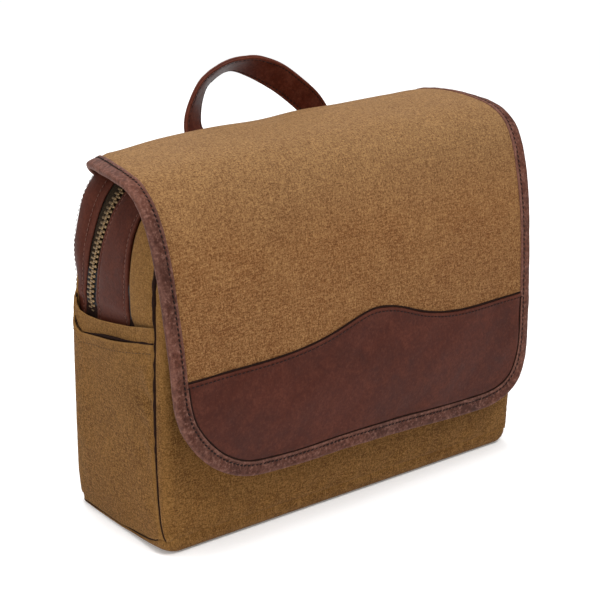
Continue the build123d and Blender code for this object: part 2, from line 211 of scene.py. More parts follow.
def get_points(mesh):
    coords = np.zeros(len(mesh.vertices) * 3)
    mesh.vertices.foreach_get("co", coords)
    return coords.reshape(-1, 3) / MM


def set_points(mesh, points):
    mesh.vertices.foreach_set("co", (points * MM).ravel())
    mesh.update()


def grid_faces(nu, nv, first=0, wrap=False, flip=False):
    """Quads of a grid; wrap closes it in the second direction."""
    faces = []
    for i in range(nu - 1):
        a, b = first + i * nv, first + (i + 1) * nv
        for j in range(nv if wrap else nv - 1):
            k = (j + 1) % nv
            quad = (a + j, b + j, b + k, a + k)
            faces.append(quad[::-1] if flip else quad)
    return faces


def ring_faces(rings, size, first=0):
    """Quads between closed rings, wound along the ring first."""
    faces = []
    for i in range(rings - 1):
        a, b = first + i * size, first + (i + 1) * size
        for j in range(size):
            k = (j + 1) % size
            faces.append((a + j, a + k, b + k, b + j))
    return faces


def cap(ring, size, first=0):
    return tuple(range(first + ring * size, first + (ring + 1) * size))


def loft(name, rings, mat):
    """A capped solid through closed rings, given as ring x point x 3."""
    count, size, _ = rings.shape
    faces = grid_faces(count, size, wrap=True) + [cap(0, size), cap(count - 1, size)[::-1]]
    obj = make(name, rings.reshape(-1, 3), faces, mat)
    face_outward(obj)
    return obj


def sheet(name, points, mat, thickness, outward, uv):
    """A closed thin sheet with a rounded rim, from the grid of its outer face."""
    nu, nv, _ = points.shape
    normals = unit(np.cross(np.gradient(points, axis=0), np.gradient(points, axis=1)))
    flip = bool((normals * outward).sum() < 0)
    if flip:
        normals = -normals
    edge = np.array([i * nv for i in range(nu)] + [(nu - 1) * nv + j for j in range(1, nv)]
                    + [i * nv + nv - 1 for i in range(nu - 2, -1, -1)]
                    + list(range(nv - 2, 0, -1))).tolist()
    away = np.zeros_like(points)
    away[0] += points[0] - points[1]
    away[-1] += points[-1] - points[-2]
    away[:, 0] += points[:, 0] - points[:, 1]
    away[:, -1] += points[:, -1] - points[:, -2]
    middle = points - normals * thickness * 0.5
    rim = (middle + unit(away) * 0.35 * thickness).reshape(-1, 3)[edge]
    inner = points - normals * thickness
    n, m = nu * nv, len(edge)
    faces = grid_faces(nu, nv, flip=flip) + grid_faces(nu, nv, n, flip=not flip)
    for k in range(m):
        a, b = edge[k], edge[(k + 1) % m]
        p, q = 2 * n + k, 2 * n + (k + 1) % m
        for face in ((a, p, q, b), (a + n, b + n, q, p)):
            faces.append(face[::-1] if flip else face)
    uv = uv.reshape(-1, 2)
    obj = make(name, np.concatenate([points.reshape(-1, 3), inner.reshape(-1, 3), rim]),
               faces, mat, np.concatenate([uv, uv, uv[edge]]))
    fix_normals(obj)
    return obj


def tube(name, line, radius, mat, sides=8):
    line = np.asarray(line, float)
    radius = np.broadcast_to(np.asarray(radius, float), (len(line),))[:, None, None]
    forward = unit(np.gradient(line, axis=0))
    across = unit(np.cross(forward, np.tile([0.0, 1.0, 0.0], (len(line), 1))))
    other = np.cross(across, forward)
    angle = np.linspace(0, 2 * np.pi, sides, endpoint=False)[None, :, None]
    rings = line[:, None] + radius * (np.cos(angle) * across[:, None]
                                      + np.sin(angle) * other[:, None])
    return loft(name, rings, mat)


# one stitch: (place along it, thickness share, rise) from end to end
STITCH = [(-0.5, 0.25, -0.35), (-0.36, 0.85, 0.0), (0.0, 1.0, 0.12), (0.36, 0.85, 0.0),
          (0.5, 0.25, -0.35)]


def stitches(name, line, normals, mat, pitch=3.4, length=2.5, width=0.85, height=0.5,
             lift=0.12, skew=0.0):
    """A row of thread stitches lying on a surface along a line."""
    lengths = run_length(line)
    end = lengths[-1]
    places = np.arange(pitch * 0.5, end, pitch)
    centres = along(places, lengths, line)
    forward = unit(along(np.minimum(places + 0.5, end), lengths, line)
                   - along(np.maximum(places - 0.5, 0), lengths, line))
    up = unit(along(places, lengths, normals))
    forward = unit(forward + unit(np.cross(up, forward)) * skew)
    across = unit(np.cross(up, forward))
    angle = np.linspace(0, 2 * np.pi, 6, endpoint=False)[:, None]
    vertices, faces = [], []
    for i in range(len(places)):
        first = len(vertices) * 6
        for place, share, rise in STITCH:
            vertices.append(centres[i] + forward[i] * place * length
                            + up[i] * (lift + rise * height)
                            + across[i] * np.cos(angle) * width / 2 * share
                            + up[i] * np.sin(angle) * height / 2 * share)
        faces += ring_faces(len(STITCH), 6, first)
        faces += [cap(0, 6, first)[::-1], cap(len(STITCH) - 1, 6, first)]
    return make(name, np.concatenate(vertices), faces, mat)


def disc(name, rings, centre, axis, mat):
    """Turned part: (radius, height) rings about a centre along an axis."""
    axis = unit(np.asarray(axis, float))
    u = unit(np.cross(axis, [0.0, 0.31, 0.95]))
    v = np.cross(axis, u)
    angle = np.linspace(0, 2 * np.pi, 36, endpoint=False)[:, None]
    return loft(name, np.stack([np.asarray(centre) + height * axis
                                + radius * (np.cos(angle) * u + np.sin(angle) * v)
                                for radius, height in rings]), mat)


def thicken(obj, thickness):
    """Turn an open skin into a solid sheet that grows inwards."""
    fix_normals(obj)
    modifier = obj.modifiers.new("thick", "SOLIDIFY")
    modifier.thickness = thickness * MM
    modifier.offset = -1
    graph = bpy.context.evaluated_depsgraph_get()
    mesh = bpy.data.meshes.new_from_object(obj.evaluated_get(graph))
    obj.modifiers.clear()
    old = obj.data
    obj.data = mesh
    bpy.data.meshes.remove(old)
    fix_normals(obj)


def puff(obj, pinned, pressure, cap_move, frames=20, stiffness=15.0):
    """Cloth simulation with inside pressure; moves level off at cap_move (mm)."""
    before = get_points(obj.data)
    group = obj.vertex_groups.new(name="pin")
    group.add(np.nonzero(pinned)[0].tolist(), 1.0, "REPLACE")
    modifier = obj.modifiers.new("cloth", "CLOTH")
    settings = modifier.settings
    settings.use_pressure = True
    settings.uniform_pressure_force = pressure
    settings.vertex_group_mass = "pin"
    settings.tension_stiffness = stiffness
    settings.compression_stiffness = stiffness
    settings.bending_stiffness = 0.8
    settings.effector_weights.gravity = 0.0
    settings.quality = 5
    modifier.collision_settings.use_collision = False
    modifier.point_cache.frame_start = 1
    modifier.point_cache.frame_end = frames
    scene = bpy.context.scene
    for number in range(1, frames + 1):
        scene.frame_set(number)
    graph = bpy.context.evaluated_depsgraph_get()
    move = get_points(obj.evaluated_get(graph).data) - before
    obj.modifiers.remove(modifier)
    scene.frame_set(1)
    move[~np.isfinite(move)] = 0
    size = np.linalg.norm(move, axis=1, keepdims=True)
    limited = move / np.maximum(size, 1e-6) * (cap_move * np.tanh(size / cap_move))
    set_points(obj.data, before + np.where(size > 1e-6, limited, 0))
    obj.vertex_groups.clear()


# ============================================================ frame
def attach(obj, body, slot, *replaced):
    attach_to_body(obj, body)
    if replaced:
        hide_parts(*replaced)


def on_flap_back(obj, slot, *replaced):
    """Bakes the object's transform and hides the CAD pieces it replaces."""
    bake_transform(obj)
    if replaced:
        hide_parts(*replaced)


def on_flap_front(obj, slot, *replaced):
    """Bakes the object's transform and hides the CAD pieces it replaces."""
    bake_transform(obj)
    if replaced:
        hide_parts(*replaced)


def on_strap(obj):
    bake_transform(obj)


def node_box(node):
    """Low and high corners of a CAD piece, in millimetres."""
    low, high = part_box(node)
    return np.array(low) / MM, np.array(high) / MM


# ============================================================ material helpers
def srgb(*channels):
    """Linear colour from 0-255 sRGB values."""
    def linear(value):
        value /= 255.0
        return value / 12.92 if value <= 0.04045 else ((value + 0.055) / 1.055) ** 2.4
    return tuple(linear(value) for value in channels) + (1.0,)


def shade(color, factor):
    return tuple(min(1.0, value * factor) for value in color[:3]) + (1.0,)


class Shader:
    """A material with one Principled surface and short ways to add nodes."""

    def __init__(self, name):
        self.material = bpy.data.materials.new(name)
        self.material.use_nodes = True
        self.tree = self.material.node_tree
        self.tree.nodes.clear()
        output = self.node("ShaderNodeOutputMaterial")
        self.surface = self.node("ShaderNodeBsdfPrincipled")
        self.tree.links.new(self.surface.outputs[0], output.inputs[0])
        self.coordinates = self.node("ShaderNodeTexCoord")

    def node(self, kind, **properties):
        node = self.tree.nodes.new(kind)
        for key, value in properties.items():
            setattr(node, key, value)
        return node

    def feed(self, socket, value):
        if isinstance(value, (int, float, tuple)):
            socket.default_value = value
        else:
            self.tree.links.new(value, socket)

    def source(self, kind="Object", scale=None):
        output = self.coordinates.outputs[kind]
        if scale is None:
            return output
        mapping = self.node("ShaderNodeMapping")
        mapping.inputs["Scale"].default_value = scale
        self.feed(mapping.inputs["Vector"], output)
        return mapping.outputs[0]

    def split(self, kind="Object"):
        node = self.node("ShaderNodeSeparateXYZ")
        self.feed(node.inputs[0], self.source(kind))
        return node.outputs

    def pointiness(self):
        return self.node("ShaderNodeNewGeometry").outputs["Pointiness"]

    def noise(self, scale, detail=3.0, rough=0.55, source=None, distortion=0.0):
        node = self.node("ShaderNodeTexNoise")
        node.inputs["Scale"].default_value = scale
        node.inputs["Detail"].default_value = detail
        node.inputs["Roughness"].default_value = rough
        node.inputs["Distortion"].default_value = distortion
        self.feed(node.inputs["Vector"], self.source() if source is None else source)
        return node.outputs["Fac"]

    def remap(self, value, source, target):
        """Clamped map from the source range to the target range."""
        node = self.node("ShaderNodeMapRange")
        for key, number in zip(("From Min", "From Max", "To Min", "To Max"), source + target):
            node.inputs[key].default_value = number
        self.feed(node.inputs["Value"], value)
        return node.outputs[0]

    def mix(self, factor, a, b):
        node = self.node("ShaderNodeMix", data_type="RGBA", blend_type="MIX")
        for index, value in ((0, factor), (6, a), (7, b)):
            self.feed(node.inputs[index], value)
        return node.outputs[2]

    def tint(self, color, towards, mask, amount, rising=None, falling=None):
        """Mix in a colour where the mask is above (rising) or below (falling) a range."""
        if rising:
            factor = self.remap(mask, rising, (0.0, amount))
        else:
            factor = self.remap(mask, falling, (amount, 0.0))
        return self.mix(factor, color, towards)

    def math(self, operation, *values):
        node = self.node("ShaderNodeMath", operation=operation)
        for socket, value in zip(node.inputs, values):
            self.feed(socket, value)
        return node.outputs[0]

    def bump(self, height, strength, distance, under=None):
        node = self.node("ShaderNodeBump")
        node.inputs["Strength"].default_value = strength
        node.inputs["Distance"].default_value = distance
        self.feed(node.inputs["Height"], height)
        if under is not None:
            self.feed(node.inputs["Normal"], under)
        return node.outputs[0]

    def finish(self, values):
        for key, value in values.items():
            self.feed(self.surface.inputs[key], value)
        return self.material


def weave(sh, pitch, kind):
    """Height of a plain weave: over-and-under threads, pitch in metres."""
    u, v, _ = sh.split(kind)
    jitter = sh.noise(scale=900.0, detail=1.0)
    waves = [sh.math("SINE", sh.math("ADD", sh.math("MULTIPLY", axis, math.pi / pitch),
                                     sh.math("MULTIPLY", jitter, 0.9)))
             for axis in (u, v)]
    over = sh.remap(sh.math("MULTIPLY", *waves), source=(-0.3, 0.3), target=(0.0, 1.0))
    mix = sh.node("ShaderNodeMix", data_type="FLOAT")
    sh.feed(mix.inputs[0], over)
    sh.feed(mix.inputs[2], sh.math("ABSOLUTE", waves[0]))
    sh.feed(mix.inputs[3], sh.math("ABSOLUTE", waves[1]))
    return mix.outputs[0]


def canvas(name, base, dark, light, pitch=0.00085, wear=0.5, kind="UV", cloud=0.5,
           rise=0.0, top_sheen=None):
    """Woven cloth. cloud: broad dark patches; rise: paling upwards; top_sheen: colour of a
    painted sheen on the top, which also brings painted shade lower down.
    """
    sh = Shader(name)
    deep, pale = shade(dark, 0.60), shade(light, 1.22)
    big = sh.noise(scale=9.0, detail=4.0, rough=0.6, distortion=0.3)
    mid = sh.noise(scale=42.0, detail=5.0, rough=0.62, distortion=0.2)
    fine = sh.noise(scale=640.0, detail=2.0, rough=0.62)
    speck = sh.noise(scale=1150.0, detail=1.5, rough=0.6)
    col = sh.tint(base, dark, big, rising=(0.35, 0.68), amount=cloud)
    col = sh.tint(col, light, mid, rising=(0.42, 0.70), amount=0.30)
    if top_sheen:
        height = sh.split()[2]
        # painted shade: the flap darkened towards its lower front, where less light falls
        col = sh.tint(col, dark, height, falling=(0.115, 0.205), amount=0.42)
        # painted sheen: the flap's top made paler and less saturated
        col = sh.tint(col, top_sheen, height, rising=(0.195, 0.250), amount=0.44)
    col = sh.tint(col, dark, fine, falling=(0.34, 0.49), amount=0.55)
    col = sh.tint(col, light, fine, rising=(0.51, 0.66), amount=0.50)
    col = sh.tint(col, deep, speck, falling=(0.36, 0.48), amount=0.45)
    col = sh.tint(col, pale, speck, rising=(0.53, 0.66), amount=0.45)
    # heathered yarn runs, stretched along the two thread directions
    for scale, color in (((160.0, 1100.0, 160.0), light), ((1100.0, 160.0, 160.0), dark)):
        yarn = sh.noise(scale=1.0, detail=2.0, rough=0.6, source=sh.source(kind, scale))
        col = sh.tint(col, color, yarn, rising=(0.50, 0.72), amount=0.55)
    if rise:
        col = sh.tint(col, pale, sh.split()[2], rising=(0.105, 0.165), amount=rise)
    edge = sh.pointiness()
    col = sh.tint(col, light, edge, rising=(0.515, 0.57), amount=wear)
    # painted shade: hollows (low pointiness) darkened
    col = sh.tint(col, shade(dark, 0.45), edge, falling=(0.44, 0.49), amount=0.55)
    threads = weave(sh, pitch, kind)
    col = sh.tint(col, deep, threads, falling=(0.0, 0.45), amount=0.42)
    normal = sh.bump(threads, strength=0.55, distance=0.00025)
    normal = sh.bump(fine, strength=0.5, distance=0.0005, under=normal)
    normal = sh.bump(mid, strength=0.30, distance=0.0012, under=normal)
    rough = sh.remap(mid, source=(0.3, 0.7), target=(0.80, 0.94))
    return sh.finish({"Base Color": col, "Roughness": rough, "Normal": normal,
                      "Sheen Weight": 0.03, "Sheen Roughness": 0.5,
                      "Specular IOR Level": 0.05})


def leather(name, base, dark, light, rough=(0.36, 0.56), wear=0.6, grain=0.25, mottle=0.5,
            fleck=0.22, specular=0.10):
    """grain: bump strength of the cells; mottle and fleck: coarse and fine patches."""
    sh = Shader(name)
    big = sh.noise(scale=14.0, detail=4.0, rough=0.6, distortion=0.6)
    mid = sh.noise(scale=95.0, detail=5.0, rough=0.65, distortion=0.4)
    fine = sh.noise(scale=900.0, detail=3.0, rough=0.6)
    voronoi = sh.node("ShaderNodeTexVoronoi")
    voronoi.inputs["Scale"].default_value = 700.0
    sh.feed(voronoi.inputs["Vector"], sh.source())
    cells = voronoi.outputs["Distance"]
    nap = sh.noise(scale=420.0, detail=2.0, rough=0.6)
    col = sh.tint(base, dark, big, rising=(0.38, 0.66), amount=mottle)
    col = sh.tint(col, light, mid, rising=(0.45, 0.72), amount=0.40)
    col = sh.tint(col, dark, mid, falling=(0.28, 0.44), amount=0.40)
    col = sh.tint(col, light, nap, rising=(0.53, 0.68), amount=fleck)
    col = sh.tint(col, dark, nap, falling=(0.34, 0.48), amount=fleck)
    col = sh.tint(col, dark, cells, rising=(0.45, 0.8), amount=0.30)
    pointiness = sh.pointiness()
    edge = sh.math("MULTIPLY", sh.remap(pointiness, source=(0.51, 0.56), target=(0.0, wear)),
                   sh.remap(fine, source=(0.35, 0.65), target=(0.45, 1.0)))
    col = sh.mix(edge, col, light)
    # painted shade: hollows (low pointiness) darkened
    col = sh.tint(col, shade(dark, 0.3), pointiness, falling=(0.44, 0.49), amount=0.7)
    normal = sh.bump(cells, strength=grain, distance=0.00022)
    normal = sh.bump(fine, strength=0.18, distance=0.0003, under=normal)
    normal = sh.bump(mid, strength=0.22, distance=0.0009, under=normal)
    return sh.finish({"Base Color": col, "Normal": normal, "Specular IOR Level": specular,
                      "Roughness": sh.remap(mid, source=(0.3, 0.7), target=rough)})


def metal(name, base, dark, rough):
    sh = Shader(name)
    stain = sh.noise(scale=260.0, detail=4.0, rough=0.6)
    fine = sh.noise(scale=1400.0, detail=2.0, rough=0.5)
    col = sh.tint(base, dark, stain, falling=(0.35, 0.62), amount=0.85)
    col = sh.tint(col, shade(base, 1.7), sh.pointiness(), rising=(0.50, 0.58), amount=0.85)
    return sh.finish({"Base Color": col, "Metallic": 0.95,
                      "Roughness": sh.remap(stain, (0.3, 0.7), (rough, rough + 0.22)),
                      "Normal": sh.bump(fine, strength=0.12, distance=0.0001)})


def thread(name, base):
    sh = Shader(name)
    twist = sh.noise(scale=2200.0, detail=2.0, rough=0.5,
                     source=sh.source("Object", (1.0, 1.0, 1.0)))
    col = sh.tint(base, shade(base, 0.45), twist, rising=(0.35, 0.65), amount=0.5)
    return sh.finish({"Base Color": col, "Roughness": 0.62, "Specular IOR Level": 0.12,
                      "Normal": sh.bump(twist, strength=0.4, distance=0.0002)})


def plain(name, base, dark, scale, rough, distance=0.0004):
    sh = Shader(name)
    patches = sh.noise(scale=scale, detail=4.0, rough=0.6)
    col = sh.tint(base, dark, patches, rising=(0.35, 0.65), amount=0.8)
    return sh.finish({"Base Color": col, "Roughness": rough, "Specular IOR Level": 0.08,
                      "Normal": sh.bump(patches, strength=0.5, distance=distance)})


def floor_material():
    sh = Shader("floor_mat")
    col = sh.tint((0.955, 0.955, 0.955, 1), (0.97, 0.97, 0.97, 1),
                  sh.noise(scale=3.0, detail=2.0, rough=0.5), rising=(0.3, 0.7), amount=1.0)
    return sh.finish({"Base Color": col, "Roughness": 0.9, "Specular IOR Level": 0.1,
                      "Emission Color": (1, 1, 1, 1), "Emission Strength": 0.12})


# ============================================================ materials
# the flap's cloth carries a painted sheen on its top and painted shade towards its lower front
FLAP_CANVAS = canvas("flap_canvas_mat", base=srgb(119, 78, 43), dark=srgb(85, 50, 25),
                     light=srgb(158, 120, 77), cloud=0.35, top_sheen=srgb(140, 116, 82))
BODY_CANVAS = canvas("body_canvas_mat", base=srgb(105, 70, 31), dark=srgb(69, 43, 17),
                     light=srgb(140, 103, 58), rise=0.20)
LEATHER = leather("leather_mat", base=srgb(70, 31, 20), dark=srgb(48, 20, 13),
                  light=srgb(95, 52, 39), rough=(0.46, 0.64))
BINDING = leather("binding_mat", base=srgb(88, 50, 37), dark=srgb(44, 21, 16),
                  light=srgb(128, 91, 79), rough=(0.6, 0.8), wear=0.5, mottle=0.65,
                  grain=0.6, fleck=0.55, specular=0.12)
STRAP_LEATHER = leather("strap_mat", base=srgb(78, 32, 20), dark=srgb(48, 18, 12),
                        light=srgb(110, 61, 45), wear=0.7, specular=0.09)
BRASS = metal("antique_brass_mat", base=srgb(112, 92, 66), dark=srgb(36, 27, 18), rough=0.32)
ZIP_TAPE = canvas("zip_tape_mat", base=srgb(40, 30, 20), dark=srgb(24, 17, 11),
                  light=srgb(62, 49, 34), pitch=0.0011, wear=0.2)
LINING_LOOK = dict(base=srgb(104, 84, 58), dark=srgb(76, 60, 40), light=srgb(134, 112, 82),
                   pitch=0.0011, wear=0.2, cloud=0.3)
LINING = canvas("lining_mat", **LINING_LOOK)
LINING_NO_UV = canvas("lining_obj_mat", kind="Object", **LINING_LOOK)
THREAD_DARK = thread("thread_dark_mat", srgb(30, 16, 13))
THREAD_LEATHER = thread("thread_leather_mat", srgb(112, 76, 65))
THREAD_CANVAS = thread("thread_canvas_mat", srgb(84, 58, 30))
FOAM = plain("foam_mat", base=srgb(50, 50, 52), dark=srgb(30, 30, 32), scale=900.0,
             rough=0.95, distance=0.0006)
BOARD = plain("board_mat", base=srgb(34, 32, 30), dark=srgb(22, 21, 20), scale=120.0,
              rough=0.6, distance=0.0002)
# painted shade: the dark brown of the tubes and core that stand for shadow in seams, grooves
# and openings
PAINTED_SHADE = plain("painted_shade_mat", base=srgb(38, 21, 15), dark=srgb(20, 11, 8), scale=400.0,
             rough=0.95)

# ============================================================ flap surface
# The flap is laid out in (x across, s along its profile from the back's lower edge, over the
# ridge and down the front).
FLAP_HALF = 161.0
# side profiles of the outer face, (drawn in, y, z)
FLAP_LEFT = [
    (40.0, 56.6, 196), (35.0, 57.8, 212), (28.0, 58.0, 226), (20.0, 57.0, 236.5),
    (15.4, 52.6, 243.4), (11.6, 43.0, 246.4), (8.0, 30.0, 247.4), (4.2, 15.0, 247.4),
    (1.4, 1.0, 246.9), (0, -12.0, 245.4), (0, -22.5, 242.4), (0, -32.5, 236.0),
    (0, -39.6, 228.4), (0, -45.2, 219.6), (0, -49.8, 210.0), (0, -53.2, 200.4),
    (0, -57.0, 188.0), (0, -61.2, 172.0), (0, -65.2, 154.0), (0, -68.8, 136.0),
    (0, -71.6, 118.0), (0, -73.6, 100.0), (0, -74.2, 80.0), (0, -73.4, 60.0),
    (0, -72.0, 42.5)]
FLAP_RIGHT = [
    (40.0, 56.6, 196), (34.0, 58.0, 216), (25.0, 58.4, 237), (14.0, 57.2, 249.5),
    (7.0, 51.5, 257.2), (3.0, 42.0, 260.4), (0.5, 30.0, 261.6), (0, 15.0, 262.0),
    (0, -1.0, 261.0), (0, -14.0, 259.2), (0, -24.5, 256.6), (0, -33.4, 252.2),
    (0, -40.0, 246.8), (0, -45.0, 239.4), (0, -49.0, 230.4), (0, -52.6, 219.0),
    (0, -56.4, 204.0), (0, -60.4, 186.0), (0, -63.4, 166.0), (0, -65.4, 146.0),
    (0, -66.8, 126.0), (0, -67.8, 106.0), (0, -68.2, 84.0), (0, -67.6, 62.0),
    (0, -66.6, 40.5)]
# (s, how far the corners droop)
DROOP = [(0, 0), (36, 0.4), (48, 3.0), (60, 4.4), (74, 4.8), (90, 4.2), (108, 3.2),
         (124, 2.2), (140, 1.0), (156, 0.2), (170, 0), (400, 0)]
# (s, left edge stands out, right edge stands out)
STRETCH = [(0, 0, 0), (60, 0, 0.4), (88, 0.2, 1.0), (108, 0.6, 1.4), (126, 1.4, 1.6),
           (140, 2.0, 1.4), (168, 2.0, 0.7), (200, 1.9, 0.2), (250, 1.8, -1.0),
           (300, 1.8, -1.4), (360, 1.8, -1.2)]
# (x, share of the right profile)
RIGHT_SHARE = np.array([(-161, 0.0), (-147, 0.0), (-110, 0.22), (-66, 0.50), (0, 0.68),
                        (45, 0.86), (106, 1.0), (149, 1.0), (161, 0.90)])

profile_at = np.linspace(0, 1, 1400)
left_profile, right_profile = (
    spline(np.linspace(0, 1, len(points)), points)(profile_at)
    for points in (FLAP_LEFT, FLAP_RIGHT))
profile_s = 0.5 * (run_length(left_profile[:, 1:]) + run_length(right_profile[:, 1:]))
FLAP_END = profile_s[-1]
right_share = spline(RIGHT_SHARE[:, 0], RIGHT_SHARE[:, 1])


def flap_base(x, s):
    share = np.clip(right_share(np.clip(x, -FLAP_HALF, FLAP_HALF)), 0, 1)[..., None]
    left, right = along(s, profile_s, left_profile), along(s, profile_s, right_profile)
    points = left * (1 - share) + right * share
    from_left, from_right = x + FLAP_HALF, FLAP_HALF - x
    X = (x + left[..., 0] * (1 - smoothstep(from_left / 150.0))
         - right[..., 0] * (1 - smoothstep(from_right / 150.0)))
    # the side edges stand out a little beyond the straight line
    X = (X - lookup(s, STRETCH, 1) * smoothstep(-x / FLAP_HALF) ** 2
         + lookup(s, STRETCH, 2) * smoothstep(x / FLAP_HALF) ** 2)
    # the ridge's corners droop, the left one more
    Z = points[..., 2] - lookup(s, DROOP) * (
        1.25 * (1 - np.clip(from_left / 16.0, 0, 1)) ** 1.15
        + 0.4 * (1 - np.clip(from_right / 16.0, 0, 1)) ** 1.6)
    # the lower right corner curls forward, the long right edge turns back
    curl = np.clip((x - 96) / 65.0, 0, 1) * np.clip((s - (FLAP_END - 62)) / 62.0, 0, 1)
    Y = points[..., 1] - 5.0 * curl * curl
    Y = Y + 2.6 * np.clip((x - 147) / 14.0, 0, 1) ** 1.7 * smoothstep((s - 190) / 50.0)
    return np.stack([X, Y, Z], -1)


def flap_point(x, s, height=0.0):
    """Points at a height above the flap's outer face, and the normals there."""
    x, s = np.asarray(x, float), np.asarray(s, float)
    points = flap_base(x, s)
    e = 1.5
    across = flap_base(x + e, s) - flap_base(x - e, s)
    down = (flap_base(x, np.clip(s + e, 0, FLAP_END))
            - flap_base(x, np.clip(s - e, 0, FLAP_END)))
    normals = unit(np.cross(down, across))
    # soft unevenness of worn canvas, calm near the sides
    calm = smoothstep((FLAP_HALF - np.abs(x)) / 40.0)
    uneven = (ripple(points, 120, 11) * 0.9 + ripple(points, 55, 12) * 0.35) * calm
    return points + normals * (np.asarray(height) + uneven)[..., None], normals


def s_at_height(x, z):
    """s where the flap's front is at height z."""
    s = np.linspace(FLAP_END * 0.45, FLAP_END, 500)
    return np.array([np.interp(-z_i, -flap_point(np.full(500, x_i), s)[0][:, 2], s)
                     for x_i, z_i in zip(x, z)])


# the back run of the flap ends and the front run begins where the top comes forward of y = 30
scan = np.linspace(0, FLAP_END, 2000)
scan_y = 0.5 * (along(scan, profile_s, left_profile)[:, 1]
                + along(scan, profile_s, right_profile)[:, 1])
S_SPLIT = float(scan[(scan > 50) & (scan_y < 30)][0])

# outline of the flap's lower part, (x, distance up from the end): down the left side,
# along the bottom, up the right side
FLAP_OUTLINE = [
    (-161, 130), (-161, 104), (-161, 88), (-160.9, 79), (-160.3, 71), (-158.9, 63.5),
    (-156.7, 56), (-153.0, 48.5), (-147.9, 40.5), (-141.7, 32.8), (-133.6, 24.6),
    (-124.4, 17.6), (-114.8, 12.0), (-104.5, 8.3), (-90, 6.0), (-75.4, 4.9), (-60, 4.5),
    (-42, 4.6), (-25, 5.0), (10, 4.2), (49, 2.3), (84, 0.6), (106, 0.2), (122, 1.0),
    (134, 3.6), (143.5, 8.2), (150.6, 14.8), (155.6, 23.5), (158.8, 34), (160.5, 46),
    (161, 58), (161, 80), (161, 104), (161, 130)]
flap_outline = even_spline(FLAP_OUTLINE, 1400, 6000)


def inset_outline(inset):
    """The outline moved inwards, as a polyline in (x, s)."""
    t = unit(np.gradient(flap_outline, axis=0))
    inward = np.stack([-t[:, 1], t[:, 0]], -1)
    middle = np.array([0, 140.0])
    inward *= np.sign((inward * (middle - flap_outline)).sum(1))[:, None]
    moved = flap_outline + inward * inset
    return np.stack([moved[:, 0], FLAP_END - moved[:, 1]], -1)


def edge_path(inset):
    """The front run's edge in (x, s): down the left, along the bottom, up the right."""
    def build(distance):
        low = inset_outline(distance)
        top = np.linspace(S_SPLIT, FLAP_END - 130, 120)[:-1]
        left = np.stack([np.full(len(top), low[0, 0]), top], -1)
        right = np.stack([np.full(len(top), low[-1, 0]), top[::-1]], -1)
        return np.concatenate([left, low, right])
    lengths = run_length(build(0.0))
    return along(np.linspace(0, lengths[-1], 440), lengths, build(inset))


def s_bottom(x, inset):
    """s of the flap's lower edge at x."""
    low = inset_outline(inset)
    half = FLAP_HALF - inset
    rising_x = np.maximum.accumulate(low[:, 0]) + np.arange(len(low)) * 1e-7
    return np.interp(np.clip(x, -half + 1e-4, half - 1e-4), rising_x, low[:, 1])


def columns(inset, count=150):
    """x of the flap's columns, packed towards the sides where the outline turns up."""
    a = np.linspace(-1, 1, count)
    packed = np.sign(a) * (1 - (1 - np.abs(a)) ** 1.9) * 0.5 + a * 0.5
    return packed * (FLAP_HALF - inset)


# ============================================================ flap canvas and lining
def flap_sheet(name, front, inset, height, mat, thickness):
    x = columns(inset)
    if front:
        start, end, rows = S_SPLIT, s_bottom(x, inset), 130
    else:
        start, end, rows = 0.0, np.full(len(x), S_SPLIT), 70
    s = start + np.linspace(0, 1, rows)[None, :] * (end[:, None] - start)
    x = np.broadcast_to(x[:, None], s.shape)
    points, normals = flap_point(x, s, height)
    return sheet(name, points, mat, thickness, normals, np.stack([x, s], -1))


for part, slot, look, front_nodes, back_nodes in (
        ("canvas", "flap_canvas", dict(inset=2.0, height=0.4, mat=FLAP_CANVAS, thickness=1.2),
         ("flap_front_canvas",), ("flap_top_canvas", "flap_yoke")),
        ("lining", "lining_fabric", dict(inset=3.0, height=-1.45, mat=LINING, thickness=0.8),
         ("flap_front_lining",), ("flap_top_lining",))):
    on_flap_front(flap_sheet(f"flap_{part}_front", True, **look), slot, *front_nodes)
    on_flap_back(flap_sheet(f"flap_{part}_back", False, **look), slot, *back_nodes)

# ============================================================ flap leather band
# (x, z) of the band's waved upper edge
WAVE = np.array([
    (-161, 124.3), (-130, 124.4), (-84, 124.5), (-62, 126.0), (-48, 128.2), (-26, 133.6),
    (-7, 138.8), (3, 140.8), (17, 140.2), (30, 137.2), (45, 131.8), (64, 126.8),
    (83, 124.4), (108, 123.6), (135, 124.2), (161, 125.6)])
BAND_INSET = 8.8
wave_z = spline(WAVE[:, 0], WAVE[:, 1])
band_x = columns(BAND_INSET, 200)
wave_s = s_at_height(band_x, wave_z(band_x))


def flap_band():
    end = np.maximum(s_bottom(band_x, BAND_INSET), wave_s + 1.0)
    down = np.concatenate([[0.0, 0.006, 0.014, 0.03], np.linspace(0.05, 1, 56)])
    s = wave_s[:, None] * (1 - down) + end[:, None] * down
    x = np.broadcast_to(band_x[:, None], s.shape)
    uv = np.stack([x, s], -1)
    # the band sinks as it runs under the binding
    depth = distance_to(uv.reshape(-1, 2), inset_outline(BAND_INSET)[::4]).reshape(s.shape)
    depth = np.minimum(depth, (FLAP_HALF - BAND_INSET) - np.abs(x))
    height = 1.30 - 0.75 * np.exp(-(np.clip(depth - 1.4, 0, None) / 1.6) ** 2)
    # rounded upper edge
    height[:, 0] = 0.60
    height[:, 1] = np.minimum(height[:, 1], 1.20)
    height[:, 2] = height[:, 2] + 0.13
    points, normals = flap_point(x, s, height)
    points = points + normals * (ripple(points, 40, 21) * 0.18
                                 + ripple(points, 16, 22) * 0.05)[..., None]
    return sheet("flap_band", points, LEATHER, 1.0, normals, uv)


on_flap_front(flap_band(), "dark_leather", "flap_leather_band")
